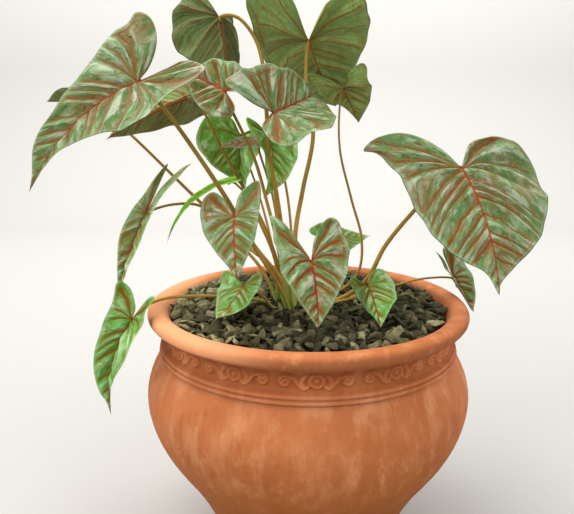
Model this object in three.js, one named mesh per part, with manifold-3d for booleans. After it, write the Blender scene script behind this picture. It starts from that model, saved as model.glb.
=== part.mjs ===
// Potted foliage plant: a terracotta pot with a rolled rim, filled with soil under a layer of
// mulch chips, and a crown that carries 21 heart-shaped leaves on arching stalks.
// Millimetres, +Z up. The origin is the centre of the pot's flat underside, and -Y faces the viewer.

import * as THREE from "three";
import { mergeVertices } from "three/addons/utils/BufferGeometryUtils.js";
import Module from "manifold-3d";

const wasm = await Module();
wasm.setup();

// ---------- driving dimensions ----------

const POT_HEIGHT = 285;
const POT_FLOOR = 12; // thickness of the pot's floor
const POT_SEGMENTS = 40;
const POT_OUTSIDE = [
  // radius and height, from the foot up to the top of the rim
  [86, 0],
  [90, 3],
  [99, 24],
  [112, 52],
  [125, 79],
  [138, 102],
  [151, 122],
  [163, 143],
  [171, 164],
  [174.5, 184],
  [173, 202],
  [166, 220],
  [159, 232],
  [157, 237],
  [159, 239],
  [159, 243],
  [154, 245],
  [151, 254],
  [153, 266],
  [163, 269],
  [170, 276],
  [168, 282],
  [162, POT_HEIGHT],
];
const POT_INSIDE = [
  // radius and height, from the rim's lip down to the floor
  [153, 282.5],
  [148.5, 276],
  [143, 262],
  [141, 245],
  [150, 224],
  [159, 204],
  [161, 184],
  [157, 162],
  [145, 132],
  [120, 90],
  [98, 50],
  [82, POT_FLOOR + 8],
  [76, POT_FLOOR],
];
const DRAIN_HOLES = 3;
const DRAIN_RADIUS = 7;
const DRAIN_CIRCLE = 48; // radius of the circle that the drainage holes lie on
const GAP = 0.4; // clearance between neighbouring pieces

const SOIL_TOP = 262;
const MULCH_TOP = 274;
const MULCH_BUMP = 1.5; // how far the chips' heaps rise and fall
const MULCH_HOLE = 31; // radius of the clear middle where the stalks come out

const CROWN_X = -12; // the plant stands a little left of the pot's axis
const CROWN_Y = 0;
const CROWN_TOP = 266;
const CROWN_DEPTH = 34;
const CROWN_RADIUS = 28;

const LEAF_THICKNESS = 1.6;
const STALK_SIDES = 6;
const STALK_STEPS = 9;
const STALK_UPRIGHT = 9; // a stalk leaves the crown straight up this far
const STALK_TO_BLADE = 0.5; // clear distance from a stalk's end to the underside of its blade

// ---------- colours and finishes ----------

const terracotta = new THREE.MeshStandardMaterial({
  color: 0xc47c4e,
  roughness: 0.85,
  metalness: 0,
});
const soilDark = new THREE.MeshStandardMaterial({
  color: 0x33261c,
  roughness: 1,
  metalness: 0,
});
const mulchChips = new THREE.MeshStandardMaterial({
  color: 0x5b5a4a,
  roughness: 0.9,
  metalness: 0,
});
const crownSkin = new THREE.MeshStandardMaterial({
  color: 0x6d6334,
  roughness: 0.8,
  metalness: 0,
});
const stalkSkin = new THREE.MeshStandardMaterial({
  color: 0x8d7434,
  roughness: 0.5,
  metalness: 0,
});
const bladeSilver = new THREE.MeshStandardMaterial({
  color: 0xa9a795,
  roughness: 0.5,
  metalness: 0,
});
const bladeGreen = new THREE.MeshStandardMaterial({
  color: 0x7d9a4a,
  roughness: 0.5,
  metalness: 0,
});
const bladeDark = new THREE.MeshStandardMaterial({
  color: 0x4f5c3c,
  roughness: 0.5,
  metalness: 0,
});

const plant = new THREE.Group();

function addMesh(name, geometry, material) {
  const mesh = new THREE.Mesh(geometry, material);
  mesh.name = name;
  plant.add(mesh);
  return mesh;
}

// ---------- turned pieces: pot, soil, crown ----------

// A body of revolution about Z from a closed or axis-to-axis profile of [radius, height] points.
function turned(profile, segments = POT_SEGMENTS) {
  const points = profile.map(([r, z]) => new THREE.Vector2(r, z));
  const geometry = new THREE.LatheGeometry(points, segments);
  geometry.rotateX(Math.PI / 2);
  geometry.deleteAttribute("normal");
  geometry.deleteAttribute("uv");
  return mergeVertices(geometry, 1e-4);
}

function toSolid(geometry) {
  const merged = mergeVertices(geometry, 1e-4);
  return new wasm.Manifold(
    new wasm.Mesh({
      numProp: 3,
      vertProperties: new Float32Array(merged.attributes.position.array),
      triVerts: new Uint32Array(merged.index.array),
    }),
  );
}

function toGeometry(solid) {
  const mesh = solid.getMesh();
  const geometry = new THREE.BufferGeometry();
  geometry.setAttribute("position", new THREE.BufferAttribute(mesh.vertProperties, 3));
  geometry.setIndex(new THREE.BufferAttribute(mesh.triVerts, 1));
  return geometry;
}

function indexed(positions, faces) {
  const geometry = new THREE.BufferGeometry();
  geometry.setAttribute("position", new THREE.Float32BufferAttribute(positions, 3));
  geometry.setIndex(faces);
  return geometry;
}

function makePot() {
  let pot = toSolid(turned([[0, 0], ...POT_OUTSIDE, ...POT_INSIDE, [0, POT_FLOOR]]));
  for (let i = 0; i < DRAIN_HOLES; i += 1) {
    const angle = Math.PI / 2 + (i * 2 * Math.PI) / DRAIN_HOLES;
    const drill = new THREE.CylinderGeometry(DRAIN_RADIUS, DRAIN_RADIUS, 3 * POT_FLOOR, 12);
    drill.rotateX(Math.PI / 2);
    drill.translate(DRAIN_CIRCLE * Math.cos(angle), DRAIN_CIRCLE * Math.sin(angle), 0);
    drill.deleteAttribute("normal");
    drill.deleteAttribute("uv");
    pot = pot.subtract(toSolid(drill));
  }
  return toGeometry(pot);
}

// The radius of the pot's inside at a height, by straight lines between the profile's points.
function insideRadius(z) {
  for (let i = 0; i + 1 < POT_INSIDE.length; i += 1) {
    const [r0, z0] = POT_INSIDE[i];
    const [r1, z1] = POT_INSIDE[i + 1];
    if (z <= z0 && z >= z1) return r1 + ((r0 - r1) * (z - z1)) / (z0 - z1);
  }
  return POT_INSIDE[0][0];
}

function makeSoil() {
  const wall = POT_INSIDE.filter(([, z]) => z > POT_FLOOR && z < SOIL_TOP);
  const side = [[SOIL_TOP, insideRadius(SOIL_TOP)], ...wall.map(([r, z]) => [z, r])]
    .reverse()
    .map(([z, r]) => [r - GAP, z]);
  const floorEdge = [POT_INSIDE.at(-1)[0] - GAP, POT_FLOOR + GAP];
  const bed = toSolid(turned([[0, POT_FLOOR + GAP], floorEdge, ...side, [0, SOIL_TOP]]));
  const pocket = turned(crownProfile(GAP, SOIL_TOP + 10), 20);
  pocket.translate(CROWN_X, CROWN_Y, 0);
  return toGeometry(bed.subtract(toSolid(pocket)));
}

// The rootstock is a rounded cone that narrows downwards, with a flat top; grow widens it all over.
function crownProfile(grow, top) {
  const foot = CROWN_TOP - CROWN_DEPTH - grow;
  return [
    [0, foot],
    [CROWN_RADIUS * 0.5 + grow, foot],
    [CROWN_RADIUS * 0.85 + grow, foot + CROWN_DEPTH * 0.35],
    [CROWN_RADIUS + grow, foot + CROWN_DEPTH * 0.75],
    [CROWN_RADIUS + grow - 1, top],
    [0, top],
  ];
}

function makeCrown() {
  const geometry = turned(crownProfile(0, CROWN_TOP), 20);
  geometry.translate(CROWN_X, CROWN_Y, 0);
  return geometry;
}

// ---------- mulch: a ring-shaped layer with a heaped top ----------

function makeMulch() {
  const rings = 5;
  const outer = insideRadius(SOIL_TOP) - GAP;
  const profile = [];
  for (let j = 0; j <= rings; j += 1) {
    profile.push([MULCH_HOLE + ((outer - MULCH_HOLE) * j) / rings, MULCH_TOP]);
  }
  profile.reverse();
  const foot = SOIL_TOP + GAP;
  const closed = [[outer, foot], ...profile, [MULCH_HOLE, foot], [outer, foot]];
  const geometry = turned(closed);
  const position = geometry.attributes.position;
  for (let i = 0; i < position.count; i += 1) {
    const x = position.getX(i);
    const y = position.getY(i);
    const z = position.getZ(i);
    // the clear middle is round the crown, which stands off the pot's axis
    const inward = (outer - Math.hypot(x, y)) / (outer - MULCH_HOLE);
    position.setX(i, x + CROWN_X * inward);
    if (z < MULCH_TOP - 1) continue;
    const heap = Math.sin(x * 0.11 + 1.3) * Math.cos(y * 0.13) + 0.4 * Math.sin(x * 0.05 - y * 0.07);
    position.setZ(i, MULCH_TOP + MULCH_BUMP * heap);
  }
  return geometry;
}

// ---------- leaves ----------

// Half of a plain heart-shaped outline, from the notch round the lobe to the tip. Across is in
// half widths, along is in lobe lengths below the notch and blade lengths above it.
const HEART = [
  [0, 0],
  [0.12, -0.45],
  [0.38, -0.94],
  [0.72, -0.98],
  [0.96, -0.5],
  [1, 0.06],
  [0.88, 0.35],
  [0.6, 0.63],
  [0.26, 0.85],
  [0.06, 0.96],
  [0, 1],
];
const NOTCH_SHARE = 0.08; // an outline is meshed from this share of its length onwards
const NOTCH_WIDTH = 0.6; // the halves stay this far from the midrib's line below the notch
const WAVES = 14; // radians of ripple along a margin
const { degToRad: rad } = THREE.MathUtils;

function directionOf(azimuth, elevation) {
  const a = rad(azimuth);
  const e = rad(elevation);
  return new THREE.Vector3(
    Math.cos(e) * Math.sin(a),
    -Math.cos(e) * Math.cos(a),
    Math.sin(e),
  );
}

// The frame of a blade at its notch: along the midrib, out of the upper face, and across.
// The blade's midrib is an arc of the given droop whose ends are the notch and the tip.
function bladeFrame(leaf) {
  const notch = new THREE.Vector3(...leaf.notch);
  const chord = new THREE.Vector3(...leaf.tip).sub(notch);
  const face = directionOf(...leaf.face);
  const along = chord.clone().normalize();
  const out = face.addScaledVector(along, -face.dot(along)).normalize();
  const across = new THREE.Vector3().crossVectors(along, out);
  const droop = rad(leaf.droop);
  const length = (chord.length() * (droop / 2)) / Math.sin(droop / 2);
  const start = along
    .clone()
    .multiplyScalar(Math.cos(droop / 2))
    .addScaledVector(out, Math.sin(droop / 2));
  const rise = new THREE.Vector3().crossVectors(across, start);
  return { notch, start, rise, across, droop, length };
}

// How far a curve of constant bend gets: forward, and to the side that it bends to.
function arc(distance, bend) {
  if (Math.abs(bend * distance) < 1e-4) return [distance, 0];
  return [Math.sin(bend * distance) / bend, (1 - Math.cos(bend * distance)) / bend];
}

// Where a flat point of the blade goes: side is -1 for the left half and 1 for the right half,
// x is the distance from the midrib and y the distance along it from the notch.
function bladePoint(leaf, frame, side, x, y) {
  const half = side < 0 ? 0 : 1;
  const bend = y < 0 ? rad(leaf.lift[half]) / leaf.lobes[half] : frame.droop / frame.length;
  const [forward, down] = arc(Math.abs(y), bend);
  const sign = y < 0 ? -1 : 1;
  const turn = bend * Math.abs(y);
  const tangent = frame.start
    .clone()
    .multiplyScalar(Math.cos(turn))
    .addScaledVector(frame.rise, -Math.sin(turn));
  const roll = rad(leaf.twist) * Math.max(0, y / frame.length);
  const outward = frame.across.clone().applyAxisAngle(tangent, roll);
  const upward = new THREE.Vector3().crossVectors(outward, tangent);
  const fold = rad(leaf.fold[half]);
  const [straight, raised] = arc(x, rad(leaf.curl[half]) / (leaf.width / 2));
  const reach = straight * Math.cos(fold) - raised * Math.sin(fold);
  const height = straight * Math.sin(fold) + raised * Math.cos(fold);
  const edge = Math.min(1.2, (2 * x) / leaf.width) ** 2;
  const ripple = leaf.wave * edge * Math.sin((WAVES * y) / frame.length + side * 1.3);
  const share = y / frame.length;
  const sway = 4 * leaf.sway * share * (1 - share);
  return frame.notch
    .clone()
    .addScaledVector(frame.start, sign * forward)
    .addScaledVector(frame.rise, -sign * down)
    .addScaledVector(outward, side * reach + sway)
    .addScaledVector(upward, height + ripple);
}

// The unit normal of the blade's upper face at a flat point.
function bladeNormal(leaf, frame, side, x, y) {
  const step = 0.02;
  const here = bladePoint(leaf, frame, side, x, y);
  const acrossStep = bladePoint(leaf, frame, side, x + step, y).sub(here);
  const alongStep = bladePoint(leaf, frame, side, x, y + step).sub(here);
  return acrossStep.cross(alongStep).multiplyScalar(side).normalize();
}

// The points of the margin, from the notch round the right lobe to the tip and back on the left.
function bladeMargin(leaf, frame, rays) {
  const half = (side) => {
    const lobe = leaf.lobes[side < 0 ? 0 : 1];
    const points = (side < 0 ? leaf.left : leaf.right).map(([across, along]) => {
      const y = along * (along < 0 ? lobe : frame.length);
      return new THREE.Vector3((across * leaf.width) / 2, y, 0);
    });
    const outline = new THREE.CatmullRomCurve3(points, false, "centripetal");
    return Array.from({ length: rays + 1 }, (_, i) => {
      const { x, y } = outline.getPointAt(1 - (1 - NOTCH_SHARE) * (1 - i / rays));
      return { side, x: i < rays ? Math.max(x, NOTCH_WIDTH) : 0, y };
    });
  };
  return [...half(1), ...half(-1).slice(0, -1).reverse()];
}

// A blade is two skins that meet at the margin, meshed as a fan of rays from the notch.
function makeBlade(leaf) {
  const frame = bladeFrame(leaf);
  const big = leaf.width > 60;
  const slender = leaf.width < 20;
  const rings = slender ? 8 : big ? 3 : 2;
  const margin = bladeMargin(leaf, frame, big ? 9 : 7);
  const positions = [];
  const addPoint = (point) => positions.push(point.x, point.y, point.z) / 3 - 1;
  const centre = addPoint(frame.notch);
  const upper = [];
  const lower = [];
  for (const { side, x, y } of margin) {
    const up = [centre];
    const down = [centre];
    for (let j = 1; j < rings; j += 1) {
      const flat = [side, (x * j) / rings, (y * j) / rings];
      const middle = bladePoint(leaf, frame, ...flat);
      const offset = bladeNormal(leaf, frame, ...flat).multiplyScalar(LEAF_THICKNESS / 2);
      up.push(addPoint(middle.clone().add(offset)));
      down.push(addPoint(middle.sub(offset)));
    }
    const edge = addPoint(bladePoint(leaf, frame, side, x, y));
    upper.push([...up, edge]);
    lower.push([...down, edge]);
  }
  const faces = [];
  const addQuad = (a, b, c, d) => {
    for (const face of [[a, b, c], [a, c, d]]) {
      if (new Set(face).size === 3) faces.push(...face);
    }
  };
  const last = margin.length - 1;
  for (let j = 0; j < rings; j += 1) {
    for (let i = 0; i < last; i += 1) {
      addQuad(upper[i][j], upper[i][j + 1], upper[i + 1][j + 1], upper[i + 1][j]);
      addQuad(lower[i][j], lower[i + 1][j], lower[i + 1][j + 1], lower[i][j + 1]);
    }
    addQuad(upper[0][j + 1], upper[0][j], lower[0][j], lower[0][j + 1]);
    addQuad(upper[last][j], upper[last][j + 1], lower[last][j + 1], lower[last][j]);
  }
  return indexed(positions, faces);
}

// A stalk is a round tube that tapers from the crown to just under the blade's notch.
function makeStalk(leaf) {
  const frame = bladeFrame(leaf);
  const [thick, thin] = leaf.stalk;
  const foot = new THREE.Vector3(CROWN_X + leaf.root[0], CROWN_Y + leaf.root[1], CROWN_TOP + GAP);
  const end = frame.notch
    .clone()
    .addScaledVector(frame.rise, -(thin + STALK_TO_BLADE + LEAF_THICKNESS / 2));
  const path = new THREE.CatmullRomCurve3(
    [
      foot,
      foot.clone().setZ(foot.z + STALK_UPRIGHT),
      ...leaf.path.map((p) => new THREE.Vector3(...p)),
      end,
    ],
    false,
    "centripetal",
  );
  const positions = [];
  const faces = [];
  const side = new THREE.Vector3(1, 0, 0);
  for (let i = 0; i <= STALK_STEPS; i += 1) {
    const share = i / STALK_STEPS;
    const tangent = i === 0 ? new THREE.Vector3(0, 0, 1) : path.getTangentAt(share);
    side.addScaledVector(tangent, -side.dot(tangent)).normalize();
    const other = new THREE.Vector3().crossVectors(tangent, side);
    const radius = THREE.MathUtils.lerp(thick, thin, share);
    for (let k = 0; k < STALK_SIDES; k += 1) {
      const a = (2 * Math.PI * k) / STALK_SIDES;
      const q = path
        .getPointAt(share)
        .addScaledVector(side, radius * Math.cos(a))
        .addScaledVector(other, radius * Math.sin(a));
      positions.push(q.x, q.y, q.z);
    }
  }
  const ring = (i, k) => i * STALK_SIDES + (k % STALK_SIDES);
  for (let k = 0; k < STALK_SIDES; k += 1) {
    for (let i = 0; i < STALK_STEPS; i += 1) {
      faces.push(ring(i, k), ring(i, k + 1), ring(i + 1, k + 1));
      faces.push(ring(i, k), ring(i + 1, k + 1), ring(i + 1, k));
    }
    if (k === 0 || k + 1 === STALK_SIDES) continue;
    faces.push(ring(0, 0), ring(0, k + 1), ring(0, k));
    faces.push(ring(STALK_STEPS, 0), ring(STALK_STEPS, k), ring(STALK_STEPS, k + 1));
  }
  return indexed(positions, faces);
}

// Each leaf: its stalk's radius at the crown and at the blade, where that leaves the crown's
// middle and the points it passes through; notch and tip of the blade, and the way the upper face
// looks (azimuth from the viewer's side round to the right, elevation). Then its width, and for
// the left and right half the length of the lobe below the notch, its lift, the fold up from the
// midrib and the curl towards the margin; the droop of the midrib, the twist towards the tip, the
// ripple of the margin, the sideways bow of the midrib, and the outlines of the two halves.
const LEAVES = [
  {
    name: "upper_left", skin: bladeSilver, stalk: [2.9, 1.8], root: [-13, -12],
    path: [[-27, -14, 304], [-56, -30, 349], [-85, -46, 405], [-139, -62, 488]],
    notch: [-154.8, -68, 505.5], tip: [-249.1, -95.4, 409], face: [-33.8, 29.6], width: 127.5,
    lobes: [58.4, 58.1], lift: [23.4, 35.6], fold: [2, 33.6], curl: [-12.7, -17], droop: 37.4, twist: 8,
    wave: 2, sway: 7.1,
    left: [[0, 0], [0.03, -0.52], [0.1, -0.71], [0.35, -0.82], [0.53, -0.79], [0.59, -0.65],
    [0.6, -0.14], [0.9, 0.21], [0.84, 0.31], [0.67, 0.38], [0.11, 0.76], [0, 1]],
    right: [[0, 0], [0.3, -0.57], [0.66, -0.93], [0.84, -0.96], [0.95, -0.87], [0.98, -0.62],
    [0.89, -0.19], [0.68, 0.09], [0.4, 0.44], [0.29, 0.75], [0.06, 0.91], [0, 1]],
  },
  {
    name: "left_behind", skin: bladeDark, stalk: [2.4, 1.4], root: [-18, 9],
    path: [[-40, 6, 319], [-62, 14, 336], [-125, 36, 391], [-200, 52, 462]],
    notch: [-226, 60, 486], tip: [-313, 108, 499], face: [190, 60], width: 64, lobes: [34, 34],
    lift: [0, 0], fold: [10, 10], curl: [0, 0], droop: 30, twist: 0, wave: 2, sway: 0, left: HEART,
    right: HEART,
  },
  {
    name: "left_shaded", skin: bladeSilver, stalk: [2.2, 1.4], root: [-14, 3],
    path: [[-36, 2, 331], [-52, 4, 370], [-71, 8, 409], [-94, 14, 450], [-111, 20, 485]],
    notch: [-122, 22, 500], tip: [-215, 18, 454], face: [180, 57], width: 100, lobes: [30, 26],
    lift: [0, 10], fold: [105, 10], curl: [0, 0], droop: 20, twist: 0, wave: 2, sway: 0, left: HEART,
    right: HEART,
  },
  {
    name: "top_left", skin: bladeDark, stalk: [3.1, 1.8], root: [-9, 14],
    path: [[-32, 22, 384], [-41, 28, 433], [-44, 36, 480], [-48, 44, 533], [-57, 49, 562],
    [-76, 50, 583]],
    notch: [-93.9, 52.9, 582.2], tip: [-86.1, 27, 520], face: [-178, 5], width: 122.1,
    lobes: [45.8, 29.8], lift: [8.4, 6.9], fold: [23.5, 59.8], curl: [13.6, 40], droop: 15, twist: 0,
    wave: 3, sway: 0.4,
    left: [[0, 0], [0.37, -0.9], [0.66, -1], [0.98, -0.79], [1.11, -0.42], [1.11, 0.1], [0.91, 0.34],
    [0.28, 0.82], [0, 1]],
    right: [[0, 0], [0.03, -0.15], [0.43, -0.54], [0.81, -0.79], [1.18, -0.57], [1.22, 0.04],
    [0.87, 0.36], [0, 1]],
  },
  {
    name: "top_middle", skin: bladeDark, stalk: [2.9, 1.8], root: [1, 12],
    path: [[-13, 9, 353], [-5, 14, 401], [6, 22, 460], [-2, 30, 518]],
    notch: [1.1, 43, 558.4], tip: [39.3, 132.7, 494.7], face: [164.7, 45.1], width: 143.6,
    lobes: [70.5, 50.8], lift: [17.2, 0.9], fold: [9.3, 8.9], curl: [-2, -6], droop: 2.8, twist: 0,
    wave: 3, sway: -2.1,
    left: [[0, 0], [0.13, -0.79], [0.47, -1.08], [0.78, -0.96], [0.84, -0.53], [0.85, -0.19],
    [0.89, 0.11], [0.88, 0.35], [0.69, 0.66], [0.41, 0.86], [0.15, 0.96], [0, 1]],
    right: [[0, 0], [0.28, -0.63], [0.38, -0.81], [0.66, -0.97], [0.91, -0.7], [0.94, -0.28],
    [0.86, 0.12], [0.74, 0.3], [0.57, 0.48], [0, 1]],
  },
  {
    name: "top_right_small", skin: bladeDark, stalk: [1.7, 1.1], root: [13, 14],
    path: [[40, 16, 290], [58, 18, 310], [61, 22, 346], [50, 34, 389], [38, 54, 443], [38, 68, 489]],
    notch: [42.8, 78.4, 511], tip: [63.7, 97.4, 473.9], face: [148.1, 68.8], width: 81.4,
    lobes: [36.1, 23.9], lift: [-11.5, 42], fold: [6, -2.7], curl: [-15.9, -7.3], droop: 22.1, twist: 0,
    wave: 2, sway: -0.3,
    left: [[0, 0], [0.57, -0.82], [0.74, -0.88], [0.9, -0.49], [0.86, 0.1], [0.63, 0.4], [0.41, 0.45],
    [0, 1]],
    right: [[0, 0], [0.57, -0.94], [0.96, -1], [1.04, -0.67], [1.02, -0.12], [0.76, 0.36], [0, 1]],
  },
  {
    name: "upper_middle", skin: bladeSilver, stalk: [2.8, 1.7], root: [-3, -11],
    path: [[-24, -20, 340], [-32, -36, 400], [-40, -60, 455]],
    notch: [-33.9, -73.2, 478], tip: [5, 26.6, 501.4], face: [48, 56.1], width: 93.6,
    lobes: [64.6, 39.3], lift: [3.6, -25.6], fold: [41.9, 12.4], curl: [-4.4, -5], droop: 8.2, twist: 5,
    wave: 2, sway: 2.4,
    left: [[0, 0], [0.28, -0.41], [0.48, -0.63], [0.73, -0.79], [0.88, -0.39], [0.91, 0.09],
    [0.79, 0.39], [0.54, 0.7], [0.21, 0.93], [0, 1]],
    right: [[0, 0], [0.12, -0.68], [0.3, -0.89], [0.56, -1.04], [0.8, -0.99], [0.88, -0.73],
    [0.91, -0.33], [1, 0.06], [0.94, 0.39], [0.78, 0.64], [0.46, 0.83], [0, 1]],
  },
  {
    name: "upper_left_inner", skin: bladeSilver, stalk: [2.2, 1.4], root: [-9, -3.5],
    path: [[-33, -8, 350], [-43, -16, 393], [-54, -24, 434], [-66, -27, 462], [-79, -25, 489]],
    notch: [-83, -22, 501], tip: [-126, 14, 521], face: [-10, 30], width: 56, lobes: [24, 26],
    lift: [10, 20], fold: [-10, 25], curl: [0, 0], droop: 20, twist: 0, wave: 2, sway: 0, left: HEART,
    right: HEART,
  },
  {
    name: "centre_left_green", skin: bladeGreen, stalk: [1.7, 1.1], root: [-16, 17],
    path: [[-40, 40, 340], [-58, 72, 400], [-72, 76, 440]],
    notch: [-73.4, 54.5, 458.6], tip: [-72.2, 79.8, 396.3], face: [-8.3, 10.8], width: 102.7,
    lobes: [30.7, 28.8], lift: [16.3, -20.3], fold: [55, 32.5], curl: [11.9, 3.5], droop: -16.8,
    twist: 0, wave: 2, sway: 4.3,
    left: [[0, 0], [0.47, -0.84], [0.67, -1.01], [0.95, -0.74], [1.01, -0.33], [0.97, 0.12],
    [0.72, 0.42], [0, 1]],
    right: [[0, 0], [0.28, -0.68], [0.44, -0.87], [0.65, -0.97], [0.83, -0.96], [0.95, -0.87],
    [1.07, -0.31], [1.03, -0.08], [0.75, 0.36], [0.58, 0.53], [0.07, 0.92], [0, 1]],
  },
  {
    name: "centre_narrow", skin: bladeSilver, stalk: [1.7, 1.1], root: [-3, 4],
    path: [[-28, 2, 340], [-38, 0, 400], [-50, -4, 440]],
    notch: [-53, -5, 453], tip: [-93, 0, 445], face: [0, 60], width: 28, lobes: [8, 8], lift: [0, 0],
    fold: [0, 0], curl: [0, 0], droop: 30, twist: 0, wave: 1, sway: 0, left: HEART, right: HEART,
  },
  {
    name: "centre_right_green", skin: bladeGreen, stalk: [1.7, 1.1], root: [-1, -3.5],
    path: [[-16, -6, 340], [-22, -6, 400], [-32, -6, 444]],
    notch: [-38.8, -29.2, 453.4], tip: [-46.7, -5.2, 393.9], face: [22.1, 9.9], width: 64.2,
    lobes: [35.9, 35.8], lift: [-0.6, 21.7], fold: [16.8, 50.9], curl: [3.7, 14.4], droop: 5, twist: 0,
    wave: 2, sway: -5.8,
    left: [[0, 0], [0.09, -0.37], [0.24, -0.66], [0.51, -0.86], [0.76, -0.84], [0.91, -0.53],
    [0.83, 0.13], [0.6, 0.52], [0.46, 0.67], [0, 1]],
    right: [[0, 0], [0.54, -1], [0.64, -1.1], [0.75, -1.07], [0.9, -0.88], [0.98, -0.56], [1.02, -0.21],
    [0.94, 0.13], [0, 1]],
  },
  {
    name: "left_strip", skin: bladeGreen, stalk: [1.7, 1.1], root: [-8, 6.5],
    path: [[-34, -3, 332], [-51, -3, 376], [-68, -0.5, 401]],
    notch: [-80, 2, 412], tip: [-149, -10, 347], face: [-30, 30], width: 10, lobes: [8, 6],
    lift: [0, 0], fold: [20, 20], curl: [0, 0], droop: 30, twist: 0, wave: 0.5, sway: 13, left: HEART,
    right: HEART,
  },
  {
    name: "left_hanging", skin: bladeSilver, stalk: [2.1, 1.3], root: [-20.5, 1.5],
    path: [[-46, 2, 310], [-66, 6, 336], [-113, 12, 383], [-142, 2, 387]],
    notch: [-167.6, -12.8, 381], tip: [-195.3, -33.4, 302.7], face: [-25.2, 22], width: 44.8,
    lobes: [57.5, 58.3], lift: [-27.1, 0.9], fold: [29.9, 55.4], curl: [2.4, 1.4], droop: 0.2, twist: 0,
    wave: 1, sway: 3.3,
    left: [[0, 0], [0.03, -0.57], [0.11, -0.83], [0.37, -1.04], [0.56, -1.09], [0.71, -0.96],
    [0.8, -0.7], [0.77, -0.23], [0.82, 0.04], [0.77, 0.44], [0.43, 0.77], [0, 1]],
    right: [[0, 0], [0.03, -0.3], [0.29, -0.93], [0.39, -0.81], [0.5, -0.25], [0.68, 0.08], [0.73, 0.3],
    [0.54, 0.56], [0.18, 0.89], [0, 1]],
  },
  {
    name: "low_left", skin: bladeGreen, stalk: [2.1, 1.3], root: [-20, -7.5],
    path: [[-43, -14, 284], [-82, -26, 293], [-113, -36, 297], [-145, -45, 297], [-165, -50, 290]],
    notch: [-175.7, -61.6, 279.9], tip: [-200.2, -69.2, 181.4], face: [-12.2, 17.9], width: 81.9,
    lobes: [31.2, 36.9], lift: [17.1, 3.1], fold: [46.2, 23.1], curl: [0.6, 3.1], droop: 16.6, twist: 0,
    wave: 2, sway: 9,
    left: [[0, 0], [0.03, -0.87], [0.11, -1.01], [0.26, -1.05], [0.34, -0.94], [0.44, -0.52],
    [0.74, -0.1], [0.87, 0.12], [0.87, 0.26], [0.72, 0.4], [0.13, 0.74], [0, 1]],
    right: [[0, 0], [0.09, -0.33], [0.44, -0.74], [0.68, -0.92], [0.86, -0.99], [0.9, -0.9],
    [0.67, -0.37], [0.39, 0.59], [0.3, 0.71], [0.2, 0.8], [0.09, 0.86], [0, 1]],
  },
  {
    name: "low_left_inner", skin: bladeGreen, stalk: [1.7, 1.1], root: [-15, -19],
    path: [[-38, -30, 284], [-48, -42, 300]],
    notch: [-65.9, -57.9, 313], tip: [-86.7, -106.9, 295.5], face: [-34.5, 28.6], width: 52.2,
    lobes: [31, 21.3], lift: [17.6, 39.2], fold: [-12, -0.1], curl: [-10.1, -5.4], droop: -4.9,
    twist: 0, wave: 1, sway: -1.7,
    left: [[0, 0], [0.19, -0.51], [0.38, -0.68], [0.58, -0.69], [0.68, -0.41], [0.62, 0.6],
    [0.41, 0.82], [0.08, 0.93], [0, 1]],
    right: [[0, 0], [0.14, -0.29], [0.6, -0.9], [0.92, -1.11], [1.22, -0.76], [1.23, -0.18],
    [0.88, 0.36], [0, 1]],
  },
  {
    name: "front_left", skin: bladeSilver, stalk: [2.1, 1.3], root: [-7, -19.5],
    path: [[-30, -34, 306], [-50, -54, 345]],
    notch: [-70.6, -81.6, 386.3], tip: [-65.7, -114.9, 334.1], face: [4.2, 16.8], width: 66.2,
    lobes: [43.4, 38.8], lift: [12.5, 16], fold: [7.6, -10.6], curl: [-14.1, -15.2], droop: 27.4,
    twist: 0, wave: 2, sway: 1,
    left: [[0, 0], [0.11, -0.53], [0.3, -0.72], [0.62, -0.87], [0.72, -0.6], [0.71, -0.12],
    [0.63, 0.29], [0.44, 0.57], [0, 1]],
    right: [[0, 0], [0.4, -0.62], [0.7, -0.78], [0.93, -0.7], [1.04, -0.42], [0.96, 0.01], [0.78, 0.32],
    [0.1, 0.89], [0, 1]],
  },
  {
    name: "front_middle", skin: bladeSilver, stalk: [2.4, 1.4], root: [3, -19],
    path: [[-4, -34, 300], [0, -62, 336]],
    notch: [-0.1, -95.7, 346.6], tip: [4.9, -128.5, 293.9], face: [23.2, 16.4], width: 81.2,
    lobes: [47.8, 53.5], lift: [24.8, -15.4], fold: [11.8, 18.1], curl: [-4, -6.1], droop: 9.8,
    twist: 0, wave: 2, sway: -1.5,
    left: [[0, 0], [0.18, -0.44], [0.36, -0.69], [0.65, -0.9], [0.82, -0.85], [0.95, -0.59],
    [0.94, -0.19], [0.83, 0.09], [0.66, 0.33], [0, 1]],
    right: [[0, 0], [0.45, -0.64], [0.76, -0.77], [0.88, -0.44], [0.91, 0.18], [0.78, 0.43],
    [0.5, 0.66], [0, 1]],
  },
  {
    name: "behind_middle", skin: bladeGreen, stalk: [1.7, 1.1], root: [6, 4],
    path: [[6, 14, 300], [22, 44, 326]],
    notch: [32, 50, 342], tip: [78, 65, 342], face: [0, 40], width: 44, lobes: [26, 14], lift: [0, 0],
    fold: [0, 0], curl: [0, 0], droop: 10, twist: -50, wave: 1, sway: 0, left: HEART, right: HEART,
  },
  {
    name: "low_right", skin: bladeGreen, stalk: [1.8, 1.1], root: [15, -15],
    path: [[26, -18, 284], [56, -30, 296]],
    notch: [59.3, -47.8, 310.8], tip: [63.4, -103.3, 285.9], face: [-14, 0], width: 49.1,
    lobes: [28.6, 28.5], lift: [20.7, 17.6], fold: [-12, -12], curl: [-33.5, -32.6], droop: 10.3,
    twist: 0, wave: 1, sway: -1.8,
    left: [[0, 0], [0.03, -0.21], [0.67, -0.8], [0.94, -0.76], [1.08, -0.33], [1.02, 0.23],
    [0.85, 0.48], [0.5, 0.72], [0, 1]],
    right: [[0, 0], [0.22, -0.58], [0.46, -1.02], [0.75, -0.87], [0.79, -0.24], [0.49, 0.44],
    [0.17, 0.77], [0, 1]],
  },
  {
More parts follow.
